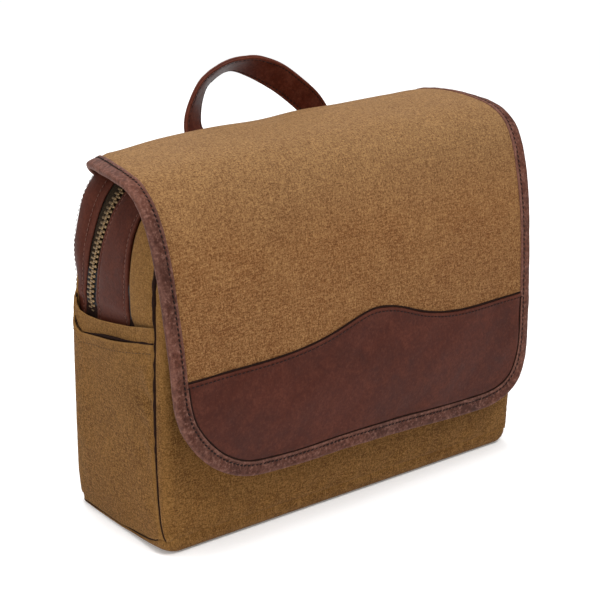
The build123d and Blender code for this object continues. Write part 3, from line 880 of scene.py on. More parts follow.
# painted shade: a dark tube along the top of the band stands for the shadow line at its raised
# edge
line, _ = flap_point(band_x[3:-3], wave_s[3:-3] - 0.70, 0.72)
on_flap_front(tube("flap_band_edge", line, 0.66 + 0.10 * ripple(line, 14, 23), PAINTED_SHADE, sides=6),
              "dark_leather")
line, normals = flap_point(band_x, wave_s + 2.6, 1.63)
on_flap_front(stitches("flap_band_stitches", line, normals, THREAD_DARK, width=0.7,
                       height=0.35, lift=0.02), "dark_leather")

# ============================================================ flap binding
BIND = 10.6
BIND_STITCH_INSET = BIND - 2.7
# section of the folded strip, (inset from the flap's edge, height): outer leaf, fold at the
# edge, inner leaf
BIND_SECTION = [
    (BIND + 0.1, 0.0), (BIND + 0.1, 0.95), (BIND - 0.15, 1.4), (BIND - 0.7, 1.62),
    (BIND - 1.5, 1.55), (BIND - 2.1, 1.28), (BIND_STITCH_INSET, 1.18), (BIND - 3.3, 1.3),
    (BIND - 4.1, 1.55), (5.4, 1.66), (4.0, 1.7), (2.4, 1.7), (1.2, 1.62), (0.4, 1.3),
    (0.0, 0.75), (-0.2, -0.2), (-0.15, -1.2), (0.1, -2.2), (0.7, -2.85), (2.2, -3.05),
    (4.5, -3.1), (7.0, -3.05), (BIND - 2.2, -3.0), (BIND - 1.0, -2.9), (BIND - 0.3, -2.7),
    (BIND - 0.3, -2.45), (5.0, -2.4), (3.0, -1.0), (5.0, 0.05)]


def binding(name, path_at):
    """path_at(inset) gives the (x, s) path at that inset."""
    edge, edge_normals = flap_point(*path_at(0.0).T)
    outward = unit(edge - flap_point(*path_at(2.0).T)[0])
    lines = []
    for inset, height in BIND_SECTION:
        if inset >= 0:
            points, normals = flap_point(*path_at(inset).T, height)
        else:
            points = edge + outward * (-inset) + edge_normals * height
        if 0 <= inset < BIND - 0.1:
            rough = (ripple(points, 22, 31) * 0.15 + ripple(points, 8, 32) * 0.09
                     + ripple(points, 3.6, 33) * 0.04)
            points = points + normals * rough[:, None]
        lines.append(points)
    return loft(name, np.stack(lines, 1), BINDING)


def binding_stitches(name, path_at):
    line, normals = flap_point(*path_at(BIND_STITCH_INSET).T, 1.25)
    return stitches(name, line, normals, THREAD_DARK, width=1.15, height=0.6, skew=0.25)


def back_path(side):
    def path_at(inset):
        return np.stack([np.full(90, side * (FLAP_HALF - inset)),
                         np.linspace(0.0, S_SPLIT, 90)], -1)
    return path_at


on_flap_front(binding("flap_binding_front", edge_path), "binding_leather",
              "flap_front_binding")

# painted shade: a dark tube in the groove between the band and the binding stands for the
# shadow there
groove = edge_path(BIND + 0.6)
groove = groove[groove[:, 1] > s_at_height(groove[:, 0], wave_z(groove[:, 0])) + 1.5]
line, _ = flap_point(*groove.T, 0.85)
on_flap_front(tube("flap_band_groove", line, 0.66 + 0.1 * ripple(line, 12, 25), PAINTED_SHADE, sides=6),
              "dark_leather")

for side, word in SIDES:
    on_flap_back(binding(f"flap_binding_back_{word}", back_path(side)), "binding_leather",
                 *(["flap_top_binding"] if side < 0 else []))
    on_flap_back(binding_stitches(f"flap_binding_stitches_back_{word}", back_path(side)),
                 "binding_leather")
on_flap_front(binding_stitches("flap_binding_stitches_front", edge_path), "binding_leather")

# ============================================================ gusset surface
LEFT_X, RIGHT_X = -157.6, 158.0
REAR_Y = 50.6                       # rear edge of the pockets and the back panel's rim
# (x, z) of the body's outline: up the left side, over the top, down the right
ARCH = np.array([
    (-157.6, 96), (-157.5, 120), (-157.0, 145), (-156.2, 165), (-155.2, 180), (-153.6, 193),
    (-151.2, 204.5), (-147.6, 215), (-142.4, 224.5), (-135, 232.5), (-125, 238.2),
    (-111, 241.6), (-92, 243.2), (-60, 244.2), (0, 245.4), (60, 246.2), (94, 246.4),
    (113, 245.0), (130, 240.4), (142.5, 232.4), (150.6, 221.5), (155.2, 208),
    (157.2, 193), (158.0, 178), (158, 160), (158, 140), (158, 118), (158, 96)])
arch = even_spline(ARCH, 700, 4000)
arch_tangent = unit(np.gradient(arch, axis=0))
arch_out = np.stack([-arch_tangent[:, 1], arch_tangent[:, 0]], -1)
# (-y, highest z) of the body under the flap's front shoulder
BROW = [(-60, 300), (4, 250), (10, 246.8), (21, 243.5), (32, 235.6), (40.5, 225.4),
        (46.5, 212.0), (50.5, 193.0), (53.5, 172.0), (55.2, 150.0)]
# how far the gusset drifts in y: one row per height, one column per depth
DRIFT_Y = [-46.0, -13.6, 25.1, 31.4, 38.3, 52.0, 57.0]
DRIFT_Z = [150.0, 165, 178, 192, 204, 214, 222, 230]
DRIFT = [(0, 1.0, 2.0, 3.0, 2.4, 0, 0),
         (3.6, 2.2, 0.4, 1.5, 1.0, 0.5, 0.2),
         (5.0, 3.2, -1.0, -0.7, -0.8, 1.0, 0.4),
         (4.6, 3.6, -3.4, -4.0, -3.0, 1.2, 0.4),
         (2.2, 3.5, -6.0, -7.3, -5.0, 1.4, 0.4),
         (0, 2.4, -8.2, -9.0, -6.1, 1.6, 0.4),
         (0, 0.5, -10.2, -11.5, -6.8, 1.8, 0.4),
         (0, -1.0, -11.8, -13.0, -7.2, 2.0, 0.4)]


def drift(y, x, z):
    by_height = [np.interp(y, DRIFT_Y, row) for row in DRIFT]
    amount = np.interp(np.where(x > 0, z - 3.0, z), DRIFT_Z, by_height)
    return amount * (0.35 + 0.65 * smoothstep((np.abs(x) - 70) / 55.0))


def gusset_points(path, outward, y, height, flatten=True):
    """Points over an (x, z) path at depth y and a height along its outward normals."""
    path_x, path_z = path.T
    if flatten:
        # low down the strips lie flat
        height = height - 1.9 * smoothstep((157.0 - path_z) / 10.0)
    # the rear edge is full round the shoulder
    height = height + (2.4 * smoothstep((y - 38.0) / 8.0) * smoothstep((57.5 - y) / 4.0)
                       * smoothstep((path_z - 160) / 30.0)
                       * (0.25 + 0.75 * smoothstep((np.abs(path_x) - 110) / 30.0)))
    X = path_x + outward[:, 0] * height
    Z = path_z + outward[:, 1] * height
    top_z = np.interp(X, ARCH[:, 0], np.where(ARCH[:, 1] > 240, ARCH[:, 1], 243.0))
    limit = lookup(-y, BROW) - (246.4 - top_z) * 0.6 + height * outward[:, 1]
    Z = np.where(Z > 150, smooth_min(Z, limit, 7.0), Z)
    Y = y + drift(y, X, Z) - 3.6 * smoothstep((y - 50.5) / 3.0) * smoothstep((158.0 - Z) / 14.0)
    return np.stack([X, Y, Z], -1)


def in_space(flat):
    """(x, z) vectors as (x, 0, z)."""
    return np.stack([flat[:, 0], flat[:, 0] * 0, flat[:, 1]], -1)


# ============================================================ gusset strips
def arch_loft(name, profile, mat, noise=0.12, seed=41):
    """A strip over the arch with a closed (y, height) profile."""
    path, outward = arch[::2], arch_out[::2]
    rings = np.stack([gusset_points(path, outward, y, height) for y, height in profile], 1)
    rough = ripple(rings, 45, seed) * noise * 2 + ripple(rings, 14, seed + 1) * noise * 0.5
    rings = rings + in_space(outward)[:, None, :] * rough[..., None]
    obj = loft(name, rings, mat)
    uv = np.broadcast_arrays(run_length(profile)[None, :], run_length(path)[:, None])
    set_uv(obj.data, np.stack(uv, -1).reshape(-1, 2))
    return obj


def doubled(top, thickness):
    """A (y, height) line and its copy below, as a closed profile."""
    return top + [(y, height - thickness) for y, height in top[::-1]]


def arch_stitches(name, y, height=1.12, lean=0.0):
    line = gusset_points(arch, arch_out, y, height)
    normals = unit(in_space(arch_out) + np.array([0, lean, 0]))
    attach(stitches(name, line, normals, THREAD_LEATHER, width=0.7, height=0.45),
           "bag", "dark_leather")


# closed or top profiles, (y, height)
CANVAS_STRIP = [
    (-46.2, -3.2), (-45.7, -2.0), (-45.0, -0.7), (-43.6, 0.35), (-41, 0.95), (-36, 1.35),
    (-30, 1.5), (-24, 1.3), (-19, 0.8), (-16.4, 0.1), (-15.0, -1.0), (-14.0, -2.2),
    (-12.0, -2.6), (-8.0, -2.6)]
FRONT_STRIP = [
    (-12.6, -2.2), (-13.3, -1.3), (-13.6, -0.2), (-13.3, 0.75), (-12.6, 1.25),
    (-11.6, 1.42), (-10.9, 1.2), (-10.3, 1.02), (-9.7, 1.25), (-8.4, 1.5), (-2, 1.75),
    (5, 1.85), (13, 1.7), (19.2, 1.5), (20.6, 1.25), (21.2, 1.02), (21.8, 1.22),
    (22.8, 1.42), (24.0, 1.3), (24.8, 0.8), (25.1, 0.1), (24.8, -0.6), (24.0, -1.1),
    (20, -1.2), (5, -1.2), (-8, -1.4)]
REAR_STRIP = [
    (39.8, -1.2), (38.9, -0.9), (38.3, -0.2), (38.2, 0.6), (38.7, 1.2), (39.8, 1.45),
    (40.9, 1.25), (41.6, 1.02), (42.3, 1.22), (44, 1.45), (47, 1.3), (49.6, 0.8),
    (51.2, 0.1), (52.2, -0.5), (53.4, -1.3), (54.8, -2.9), (55.7, -5.0), (56.0, -7.5),
    (56.0, -10), (55.9, -11.5), (55.4, -12.4), (54.4, -12.6), (54.2, -11), (54.2, -8),
    (53.0, -4.8), (50.5, -2.2), (46, -1.2), (42, -1.2)]
TAPE_FRONT = [(23.0, -0.9), (26, -1.0), (29, -1.05), (31.2, -1.1)]
TAPE_REAR = [(31.6, -1.1), (34, -1.05), (37, -1.0), (40.0, -0.9)]

# canvas beside the front seam
attach(arch_loft("gusset_canvas", doubled(CANVAS_STRIP, 1.3), BODY_CANVAS, seed=51),
       "bag", "body_canvas", "gusset_canvas_strip")
# front leather: both long edges folded under
attach(arch_loft("gusset_leather_front_strip", FRONT_STRIP, LEATHER, seed=55),
       "bag", "dark_leather", "gusset_leather_front")
arch_stitches("gusset_stitches_a", y=-10.3)
arch_stitches("gusset_stitches_b", y=21.2)
# rear leather: from the zip round the rear edge on to the back
attach(arch_loft("gusset_leather_rear_strip", REAR_STRIP, LEATHER, seed=58),
       "bag", "dark_leather", "gusset_leather_rear")
arch_stitches("gusset_stitches_c", y=41.6)
arch_stitches("gusset_stitches_d", y=51.6, height=0.10, lean=0.9)
for letter, tape, node in (("a", TAPE_FRONT, "zip_tape_front"),
                           ("b", TAPE_REAR, "zip_tape_rear")):
    attach(arch_loft(f"zip_tape_{letter}", doubled(tape, 0.7), ZIP_TAPE, noise=0),
           "bag", "zip_tape", node)

# ============================================================ zip teeth
ZIP_Y = 31.4
TOOTH_PITCH = 3.5
ZIP_END_Z = 112
SLIDER_GAP = (154.6, 167.6)          # heights on the right side without teeth
# one tooth seen from above, (across, along), with a rounded head past the centre line
TOOTH = np.array([(-4.1, -0.62), (-3.2, -0.95), (-1.2, -0.86), (-0.2, -1.02), (0.75, -0.86),
                  (1.15, 0), (0.75, 0.86), (-0.2, 1.02), (-1.2, 0.86), (-3.2, 0.95),
                  (-4.1, 0.62)])
# (height, size) of its levels
TOOTH_LEVELS = [(-1.0, 1.0), (0.25, 1.0), (0.85, 0.9), (1.05, 0.6)]


def teeth(name, side, phase):
    lengths = run_length(arch)
    start = np.interp(ZIP_END_Z, arch[:350, 1], lengths[:350])
    end = lengths[-1] - np.interp(ZIP_END_Z, arch[::-1][:350, 1], lengths[:350])
    places = np.arange(start + phase, end, TOOTH_PITCH)
    path = along(places, lengths, arch)
    out = unit(along(places, lengths, arch_out))
    origins = gusset_points(path, out, ZIP_Y, 0.0)
    low, high = SLIDER_GAP
    keep = ~((path[:, 0] > 0) & (path[:, 1] > low) & (path[:, 1] < high))
    vertices, faces = [], []
    size = len(TOOTH)
    for k in np.nonzero(keep)[0]:
        up = np.array([out[k, 0], 0, out[k, 1]])
        forward = np.array([out[k, 1], 0, -out[k, 0]])
        first = len(vertices) * size
        for height, scale in TOOTH_LEVELS:
            across = side * ((TOOTH[:, :1] + 1.5) * scale - 1.5)
            vertices.append(origins[k] + across * np.array([0.0, 1.0, 0.0])
                            + forward * TOOTH[:, 1:] * scale + up * height)
        faces += ring_faces(4, size, first)
        faces += [cap(3, size, first), cap(0, size, first)[::-1]]
    obj = make(name, np.concatenate(vertices), faces, BRASS)
    fix_normals(obj)
    return obj


attach(teeth("zip_teeth_a", -1, 0.0), "bag", "antique_brass", "zip_teeth_front")
attach(teeth("zip_teeth_b", 1, TOOTH_PITCH / 2), "bag", "antique_brass", "zip_teeth_rear")

# ============================================================ front and back panels
PANEL_U, PANEL_V = 110, 84           # quads across and up
CORNER = 1.4                         # radius of the panels' lower corners
# (z, y) of the front seam, forward at the foot
SEAM_Y = [(0, -55), (8, -53.8), (13, -52.2), (24, -49.6), (38, -47.6), (70, -45.8),
          (300, -45.8)]
# (z, how far the seam is tucked back behind the flap)
TUCK = [(0, 0), (148, 0), (154, 1.2), (165, 3.6), (178, 5.0), (192, 4.6), (198, 3.4),
        (204, 1.6), (209, 0), (300, 0)]
# (z, y) of the front panel's face
FRONT_Y = [(0, -54.4), (10, -55.2), (30, -55.8), (80, -56.4), (130, -56.0), (150, -55.2),
           (172, -53.4), (193, -50.3), (206, -47.9), (214, -46.0)]
# rounded rims, (inset, share of the way from the seam's depth to the face)
FRONT_RIM = np.array([(3.2, -0.16), (1.8, -0.08), (0.9, 0.0), (0.25, 0.12), (0.0, 0.26),
                      (0.05, 0.42), (0.5, 0.62), (1.5, 0.80), (3.0, 0.92), (5.0, 0.98),
                      (8.0, 1.0), (12.0, 1.0)])
BACK_RIM = np.array([(3.2, -0.2), (1.8, -0.1), (0.9, 0.0), (0.3, 0.14), (0.0, 0.30),
                     (0.1, 0.5), (0.6, 0.7), (1.7, 0.87), (3.2, 0.96), (5.0, 1.0),
                     (8.0, 1.0), (12.0, 1.0)])


def seam_y(z):
    return lookup(z, SEAM_Y) + lookup(z, TUCK)


def front_rim_y(line):
    """Depth of the front seam along an (x, z) line; tucked less in the middle."""
    x, z = line.T
    side = 0.35 + 0.65 * smoothstep((np.abs(x) - 70) / 55.0)
    return seam_y(np.minimum(z, 148.0)) + lookup(z, TUCK) * side


def back_rim_y(line):
    return np.full(len(line), REAR_Y)


def front_face_y(x, z):
    crown = np.clip(1 - (x / 158.0) ** 4, 0, 1)
    return lookup(z, FRONT_Y) - 1.0 * crown * (1 - np.clip((z - 120) / 90, 0, 1))


def back_face_y(x, z):
    return (54.6 + 0.5 * np.clip(1 - (x / 150.0) ** 4, 0, 1)
            * np.clip(1 - ((z - 120) / 130.0) ** 4, 0, 1))


def panel_loop(bottom_z, depth):
    """Closed (x, z) outline: bottom to the right, up, top to the left, down."""
    over = gusset_points(arch, arch_out, depth, 0.0, flatten=False)[:, [0, 2]]
    low = bottom_z + CORNER
    left = [(LEFT_X, z) for z in np.linspace(low, 94, 12)]
    right = [(RIGHT_X, z) for z in np.linspace(94, low, 12)]
    a = np.linspace(0, math.pi / 2, 7)[1:]
    turn, drop = CORNER - CORNER * np.cos(a), low - CORNER * np.sin(a)
    left_corner = np.stack([LEFT_X + turn, drop], -1)[::-1]
    right_corner = np.stack([RIGHT_X - turn, drop], -1)
    points = np.concatenate([left_corner, left, over, right, right_corner])
    lengths = run_length(points)
    mark = np.array([LEFT_X, bottom_z]) + CORNER * 0.3
    i_low = int(np.argmin(np.hypot(*(left_corner - mark).T)))
    # the upper corners lie half way round the shoulders
    high = points[:, 1] > 150
    i_left = np.nonzero((points[:, 0] > -143) & high)[0][0]
    i_right = np.nonzero((points[:, 0] < 143) & high)[0][-1]

    def run(start, end, count):
        return along(np.linspace(start, end, count + 1), lengths, points)
    start = lengths[i_low]
    up_left = run(start, lengths[i_left], PANEL_V)
    top = run(lengths[i_left], lengths[i_right], PANEL_U)
    down_right = run(lengths[i_right], lengths[-1] - start, PANEL_V)
    bottom = even_points(np.concatenate([points[:i_low + 1][::-1],
                                         points[-(i_low + 1):][::-1]]), PANEL_U + 1)
    return np.concatenate([bottom[:-1], down_right[::-1][:-1], top[::-1][:-1],
                           up_left[::-1][:-1]])


def loop_inward(loop):
    t = unit(np.roll(loop, -1, axis=0) - np.roll(loop, 1, axis=0))
    n = np.stack([-t[:, 1], t[:, 0]], -1)
    for _ in range(3):
        n = unit(0.5 * n + 0.25 * (np.roll(n, 1, 0) + np.roll(n, -1, 0)))
    return n


def panel(name, bottom_z, depth, rim_y, face_y, rim):
    """An open skin: rings round the rim and a grid over the face."""
    nu, nv = PANEL_U, PANEL_V
    loop = panel_loop(bottom_z, depth)
    inward = loop_inward(loop)
    m = len(loop)
    edge_y = rim_y(loop)
    widest = int(np.argmin(rim[:, 0]))
    rim_steps = [step for i, step in enumerate(rim) if i <= widest or step[0] <= 1.8]
    rings = []
    for inset, share in rim_steps:
        x, z = (loop + inward * inset).T
        rings.append(np.stack([x, edge_y + (face_y(x, z) - edge_y) * share, z], -1))
    last = rings[-1]
    bottom = last[0:nu + 1]
    right = last[nu:nu + nv + 1]
    top = last[nu + nv:nu + nv + nu + 1][::-1]
    left = np.concatenate([last[nu + nv + nu:], last[0:1]])[::-1]
    u = np.linspace(0, 1, nu + 1)[:, None, None]
    v = np.linspace(0, 1, nv + 1)[None, :, None]
    grid = ((1 - v) * bottom[:, None] + v * top[:, None] + (1 - u) * left[None]
            + u * right[None]
            - ((1 - u) * (1 - v) * bottom[0] + u * (1 - v) * bottom[-1]
               + (1 - u) * v * top[0] + u * v * top[-1]))
    flat = grid[..., [0, 2]].reshape(-1, 2)
    inset = np.maximum(distance_to(flat, loop), rim_steps[-1][0])
    share = lookup(inset, rim[widest:])
    start_y = rim_y(flat)
    y = start_y + (face_y(flat[:, 0], flat[:, 1]) - start_y) * share
    grid[..., 1] = y.reshape(grid.shape[:2])

    # the grid's border shares the vertices of the last ring
    index = -np.ones((nu + 1, nv + 1), int)
    first = (len(rings) - 1) * m
    for i in range(nu + 1):
        index[i, 0] = first + i
        index[i, nv] = first + nu + nv + (nu - i)
    for j in range(nv + 1):
        index[nu, j] = first + nu + j
        index[0, j] = first + (2 * nu + nv + (nv - j)) % m if j else first
    inner = (nu - 1) * (nv - 1)
    index[1:-1, 1:-1] = len(rings) * m + np.arange(inner).reshape(nu - 1, nv - 1)
    vertices = np.concatenate(rings + [grid[1:-1, 1:-1].reshape(-1, 3)])
    faces = ring_faces(len(rings), m)
    for i in range(nu):
        for j in range(nv):
            faces.append((index[i, j], index[i + 1, j], index[i + 1, j + 1], index[i, j + 1]))
    return make(name, vertices, faces, BODY_CANVAS, uv=vertices[:, [0, 2]]), loop


def soften(obj, loop, pressure, cap_move, seed, size, out):
    """Swell the panel, then return its points with puckers near the seam."""
    pinned = distance_to(get_points(obj.data)[:, [0, 2]], loop[::2]) < 9.0
    puff(obj, pinned, pressure, cap_move)
    points = get_points(obj.data)
    d = distance_to(points[:, [0, 2]], loop[::2])
    near = np.exp(-(d / 14.0) ** 2) * (1 - np.exp(-(d / 3.0) ** 2))
    bumps = (ripple(points, 13, seed) * size * near
             + ripple(points, 60, seed + 1) * 0.5 * (1 - np.exp(-(d / 12.0) ** 2)))
    points[:, 1] += out * bumps
    return points


front_panel, front_loop = panel("front_panel_canvas", bottom_z=10.2, depth=-45.8,
                                rim_y=front_rim_y, face_y=front_face_y, rim=FRONT_RIM)
points = soften(front_panel, front_loop, pressure=2.5, cap_move=2.0, seed=61, size=0.45,
                out=-1)
set_points(front_panel.data, points)
thicken(front_panel, 1.4)
attach(front_panel, "bag", "body_canvas", "front_panel")

back_panel, back_loop = panel("back_panel_canvas", bottom_z=5.0, depth=50.0,
                              rim_y=back_rim_y, face_y=back_face_y, rim=BACK_RIM)
points = soften(back_panel, back_loop, pressure=-1.2, cap_move=1.0, seed=63, size=0.35,
                out=1)
# high up the canvas lies under the leather that wraps round the rear edge
high = np.nonzero(points[:, 2] > 140)[0]
from_edge = distance_to(points[high][:, [0, 2]], even_points(back_loop, 2400))
points[high, 1] -= (2.4 * smoothstep((points[high, 2] - 150) / 8.0)
                    * smoothstep((14.2 - from_edge) / 2.6))
set_points(back_panel.data, points)
thicken(back_panel, 1.4)
attach(back_panel, "bag", "body_canvas", "back_panel")

# ============================================================ lower sides
# (z, how far the left side stands out)
LEFT_SWELL = [(0, 1.9), (8, 2.0), (30, 2.1), (60, 2.3), (120, 2.4), (146, 2.2), (158, 1.3),
              (170, 0.3), (400, 0)]
# (y, how far the sides turn in at the floor)
FOOT_IN = [(-56, 5.0), (-50, 3.6), (-40, 2.4), (-20, 2.0), (0, 1.8), (30, 2.4), (50, 3.0)]
# (y, height where the turn-in begins)
FOOT_HEIGHT = [(-56, 11.5), (-30, 12.0), (10, 22.0), (50, 34.0)]
# (y, z) of the seam between the sides and the bottom tray
TRAY_SEAM = [(-56, 11.6), (-49, 11.4), (-44, 8.6), (-36, 6.2), (-22, 3.9), (-4, 2.7),
             (14, 2.0), (50, 1.5), (56, 3.2)]


def foot(z, y):
    """How far the sides turn in towards the floor."""
    return lookup(y, FOOT_IN) * np.clip(1 - z / lookup(y, FOOT_HEIGHT), 0, 1) ** 2


def toe(x, y, z):
    """Turn-in of a panel's end, easing its corner into the tray's rounder one."""
    amount = foot(z, y) * 0.98 + (1.9 * np.clip(1 - (z - 10.0) / 18.0, 0, 1) ** 1.6
                                  * smoothstep((-y - 49.0) / 5.0))
    return np.sign(x) * amount * smoothstep((np.abs(x) - 110) / 35.0)


def swell_left(points):
    points = points.copy()
    points[..., 0] -= (lookup(points[..., 2], LEFT_SWELL)
                       * smoothstep((-points[..., 0] - 118) / 38.0))
    return points


def swell_object(obj, turn_in=False):
    points = get_points(obj.data)
    if turn_in:
        points[:, 0] -= toe(*points.T)
    set_points(obj.data, swell_left(points))


def tray_seam_z(y):
    return lookup(y, TRAY_SEAM)


# ============================================================ bottom tray
# (inset, rise over the seam) of the turned-in upper rings, and (inset, share of the seam's
# height) of the rings that round on to the floor
TRAY_UPPER = [(2.6, 1.6), (1.3, 0.9), (0.45, 0.1), (0.0, -0.9), (-0.35, -2.4), (-0.35, -4.4)]
TRAY_LOWER = [(0.2, 0.42), (1.2, 0.24), (2.8, 0.10), (4.8, 0.03), (7.5, 0.0), (14.0, 0.0),
              (26.0, 0.0)]


def tray_outline(inset):
    """Plan outline, moved in by the inset."""
    left, right = LEFT_X - 0.2 + inset, RIGHT_X + 0.2 - inset
    front, back = -55.6 + inset, 55.0 - inset
    front_r, back_r = max(9.0 - inset, 1.2), max(7.0 - inset, 1.2)

    def arc(x, y, radius, quarter):
        a = np.linspace(quarter * math.pi / 2, (quarter + 1) * math.pi / 2, 9)
        return np.stack([x + radius * np.cos(a), y + radius * np.sin(a)], -1)

    def between(start, end, count):
        t = np.linspace(0, 1, count + 2)[1:-1, None]
        return start * (1 - t) + end * t
    arcs = [arc(right - front_r, front + front_r, front_r, -1),
            arc(right - back_r, back - back_r, back_r, 0),
            arc(left + back_r, back - back_r, back_r, 1),
            arc(left + front_r, front + front_r, front_r, 2)]
    parts = []
    for i, count in enumerate((30, 90, 30, 90)):
        parts += [arcs[i], between(arcs[i][-1], arcs[(i + 1) % 4][0], count)]
    return np.concatenate(parts)


def tray_top(plan):
    return np.where(plan[:, 1] > 53.0, 4.6, tray_seam_z(plan[:, 1]))


def bottom_tray():
    rings = []
    for inset, rise in TRAY_UPPER:
        plan = tray_outline(max(inset, 0))
        if inset < 0:
            plan = plan + unit(plan - plan.mean(0)) * (-inset)
        top = tray_top(plan)
        rings.append(np.column_stack([plan, top + rise * np.clip(top / 10.0, 0.4, 1)]))
    for inset, share in TRAY_LOWER:
        plan = tray_outline(inset)
        rings.append(np.column_stack([plan, share * (tray_top(plan) - 1.0)]))
    rings = np.stack(rings)
    rings[..., 2] = np.maximum(rings[..., 2], 0.0)
    x = rings[..., 0]
    rings[..., 0] = x - (np.sign(x) * foot(rings[..., 2], rings[..., 1])
                         * smoothstep((np.abs(x) - 110) / 35.0) * 0.98)
    count, size, _ = rings.shape
    flat = rings.reshape(-1, 3)
    round_length = run_length(close_loop(rings[0]))[:-1]
    uv = np.stack([np.tile(round_length, count),
                   flat[:, 2] + np.repeat(run_length(rings[:, 0]), size)], -1)
    # the underside is mapped in plan
    uv[size * 9:] = flat[size * 9:, :2]
    faces = grid_faces(count, size, wrap=True) + [cap(count - 1, size)]
    obj = make("bottom_tray", flat, faces, BODY_CANVAS, uv)
    thicken(obj, 1.4)
    return obj


tray = bottom_tray()

# ============================================================ side pockets and facings
# (y, z) of their upper edges
POCKET_TOP = [(-47, 145.2), (-42, 143.9), (-28, 140.9), (-12.4, 137.6), (2, 135.0),
              (15, 133.2), (28, 131.0), (38, 129.6), (44, 131.8), (48, 136.2), (51, 141.2)]
FACING_TOP = [(-47, 155.4), (-43.8, 154.6), (-30, 151.6), (-17.8, 148.8), (0, 146.0),
              (18, 143.6), (32, 142.6), (42.7, 143.4), (47, 146.4), (51, 151.5)]
HEM = 6.2                            # the hem's stitches below the pocket's edge


def share_back(y):
    """How far y is from the front seam to the rear edge, 0 to 1."""
    return np.clip((y + 46) / 96.6, 0, 1)


def pocket_bulge(y, z):
    """Fuller in the middle and at the rear; the mouth stands open a little."""
    middle = np.sin(np.pi * share_back(y))
    low = np.clip((z - 4) / 30.0, 0, 1)
    mouth = np.clip((z - 60) / 75.0, 0, 1)
    rear = np.exp(-((y - 42.0) / 12.0) ** 2) * low
    return (0.9 + 1.2 * middle * low + 2.1 * np.clip(middle, 0, 1) ** 0.7 * mouth ** 2
            + 0.9 * rear)


def facing_bulge(y, z=None):
    return 0.2 + 1.15 * np.sin(np.pi * share_back(y)) ** 0.6


def pocket_bottom(y):
    return tray_seam_z(y) - 0.8


def facing_bottom(y):
    return lookup(y, POCKET_TOP) - 12.0


def side_sheet(name, side, half, top, bottom_z, bulge, thickness, seed, noise=0.5,
               edge_in=2.8, hem=False):
    """A sheet on a side of the bag; edge_in is how far its sewn edges roll in."""
    ny, nz = 75, 90
    points = np.zeros((ny, nz, 3))
    rows = np.concatenate([np.linspace(0, 0.90, nz - 12), np.linspace(0.91, 1.0, 12)])
    for j, v in enumerate(rows):
        # the front edge follows the front seam, which moves forward near the bottom
        front_z = bottom_z(-46.0) * (1 - v) + lookup(-46.0, top) * v
        front_y = float(seam_y(front_z)) + 0.55
        y = front_y + (REAR_Y - front_y) * np.linspace(0, 1, ny)
        z_low = bottom_z(y)
        z = z_low * (1 - v) + lookup(y, top) * v
        from_edge = np.minimum(np.minimum(y - front_y, REAR_Y - y), (z - z_low) * 1.2)
        inside = 1 - np.clip(from_edge / 2.8, 0, 1)
        roll = edge_in * (1 - np.sqrt(np.clip(1 - inside ** 2, 0, 1)))
        x = half + bulge(y, z) - roll - foot(z, y)
        points[:, j] = np.stack([side * x, y, z], -1)
    y, z = points[..., 1], points[..., 2]
    # puckers beside the upright seams, soft unevenness between them
    d = np.minimum(y - y[0:1], y[-1:] - y)
    near = np.exp(-(d / 13.0) ** 2) * (1 - np.exp(-(d / 2.6) ** 2))
    front = (np.exp(-((y + 40.0) / 8.0) ** 2) * smoothstep((z - 45) / 25.0)
             * smoothstep((140 - z) / 20.0))
    rough = (ripple(points * [0, 0.35, 1], 12.5, seed) * (0.5 + 1.3 * front) * near
             + ripple(points, 62, seed + 1) * noise * (1 - np.exp(-(d / 14.0) ** 2))
             + ripple(points, 26, seed + 2) * 0.22 * (1 - np.exp(-(d / 10.0) ** 2)))
    points[..., 0] += side * rough
    if hem:
        # the doubled upper edge stands proud, with a dip along its stitches
        below = lookup(y, top) - z
        points[..., 0] += side * (0.35 * np.exp(-(np.clip(below - 0.8, 0, None) / 6.0) ** 4)
                                  - 0.14 * np.exp(-((below - HEM) / 0.9) ** 2)
                                  - 0.5 * np.exp(-(below / 0.7) ** 2))
    obj = sheet(name, points, BODY_CANVAS, thickness, (side, 0, 0), np.stack([y, z], -1))
    swell_object(obj)
    return obj, swell_left(points)


def hem_stitches(word, side, pocket):
    y = np.linspace(-44.5, 49.5, 120)
    z = lookup(y, POCKET_TOP) - HEM
    nearest = [pocket[np.argmin(np.abs(pocket[:, 40, 1] - value))] for value in y]
    x = [np.interp(height, column[:, 2], column[:, 0]) for height, column in zip(z, nearest)]
    normals = np.tile([float(side), 0, 0], (120, 1))
    return stitches(f"pocket_stitches_{word}", np.stack([x, y, z], -1), normals,
                    THREAD_CANVAS, width=0.6, height=0.4, lift=0.05)


def pocket_mouth(word, side, half):
    """Painted shade: a dark tube standing for the shadow in the opening between the pocket and
    its facing.
    """
    y = np.linspace(-45.4, 49.0, 80)
    x = half + facing_bulge(y) + 0.15
    gape = (0.45 + 0.95 * np.exp(-((y - 3.0) / 19.0) ** 2)
            + 0.35 * np.exp(-((y + 36.0) / 6.0) ** 2))
    line = np.stack([side * x, y, lookup(y, POCKET_TOP) + gape * 0.7], -1)
    return tube(f"pocket_mouth_{word}", swell_left(line), gape, PAINTED_SHADE)


def foot_seam(word, side, half):
    """Painted shade: a dark tube along where the side is sewn to the bottom, standing for the
    shadow in that seam.
    """
    y = np.linspace(-51.5, 49.5, 90)
    z = tray_seam_z(y) + 0.2 + 0.5 * ripple(np.stack([y * 0, y, y * 0], -1), 24, 91)
    line = np.stack([side * (half + 0.55 - foot(z, y)), y, z], -1)
    return tube(f"foot_seam_{word}", swell_left(line)[4:], 0.42, PAINTED_SHADE, sides=6)


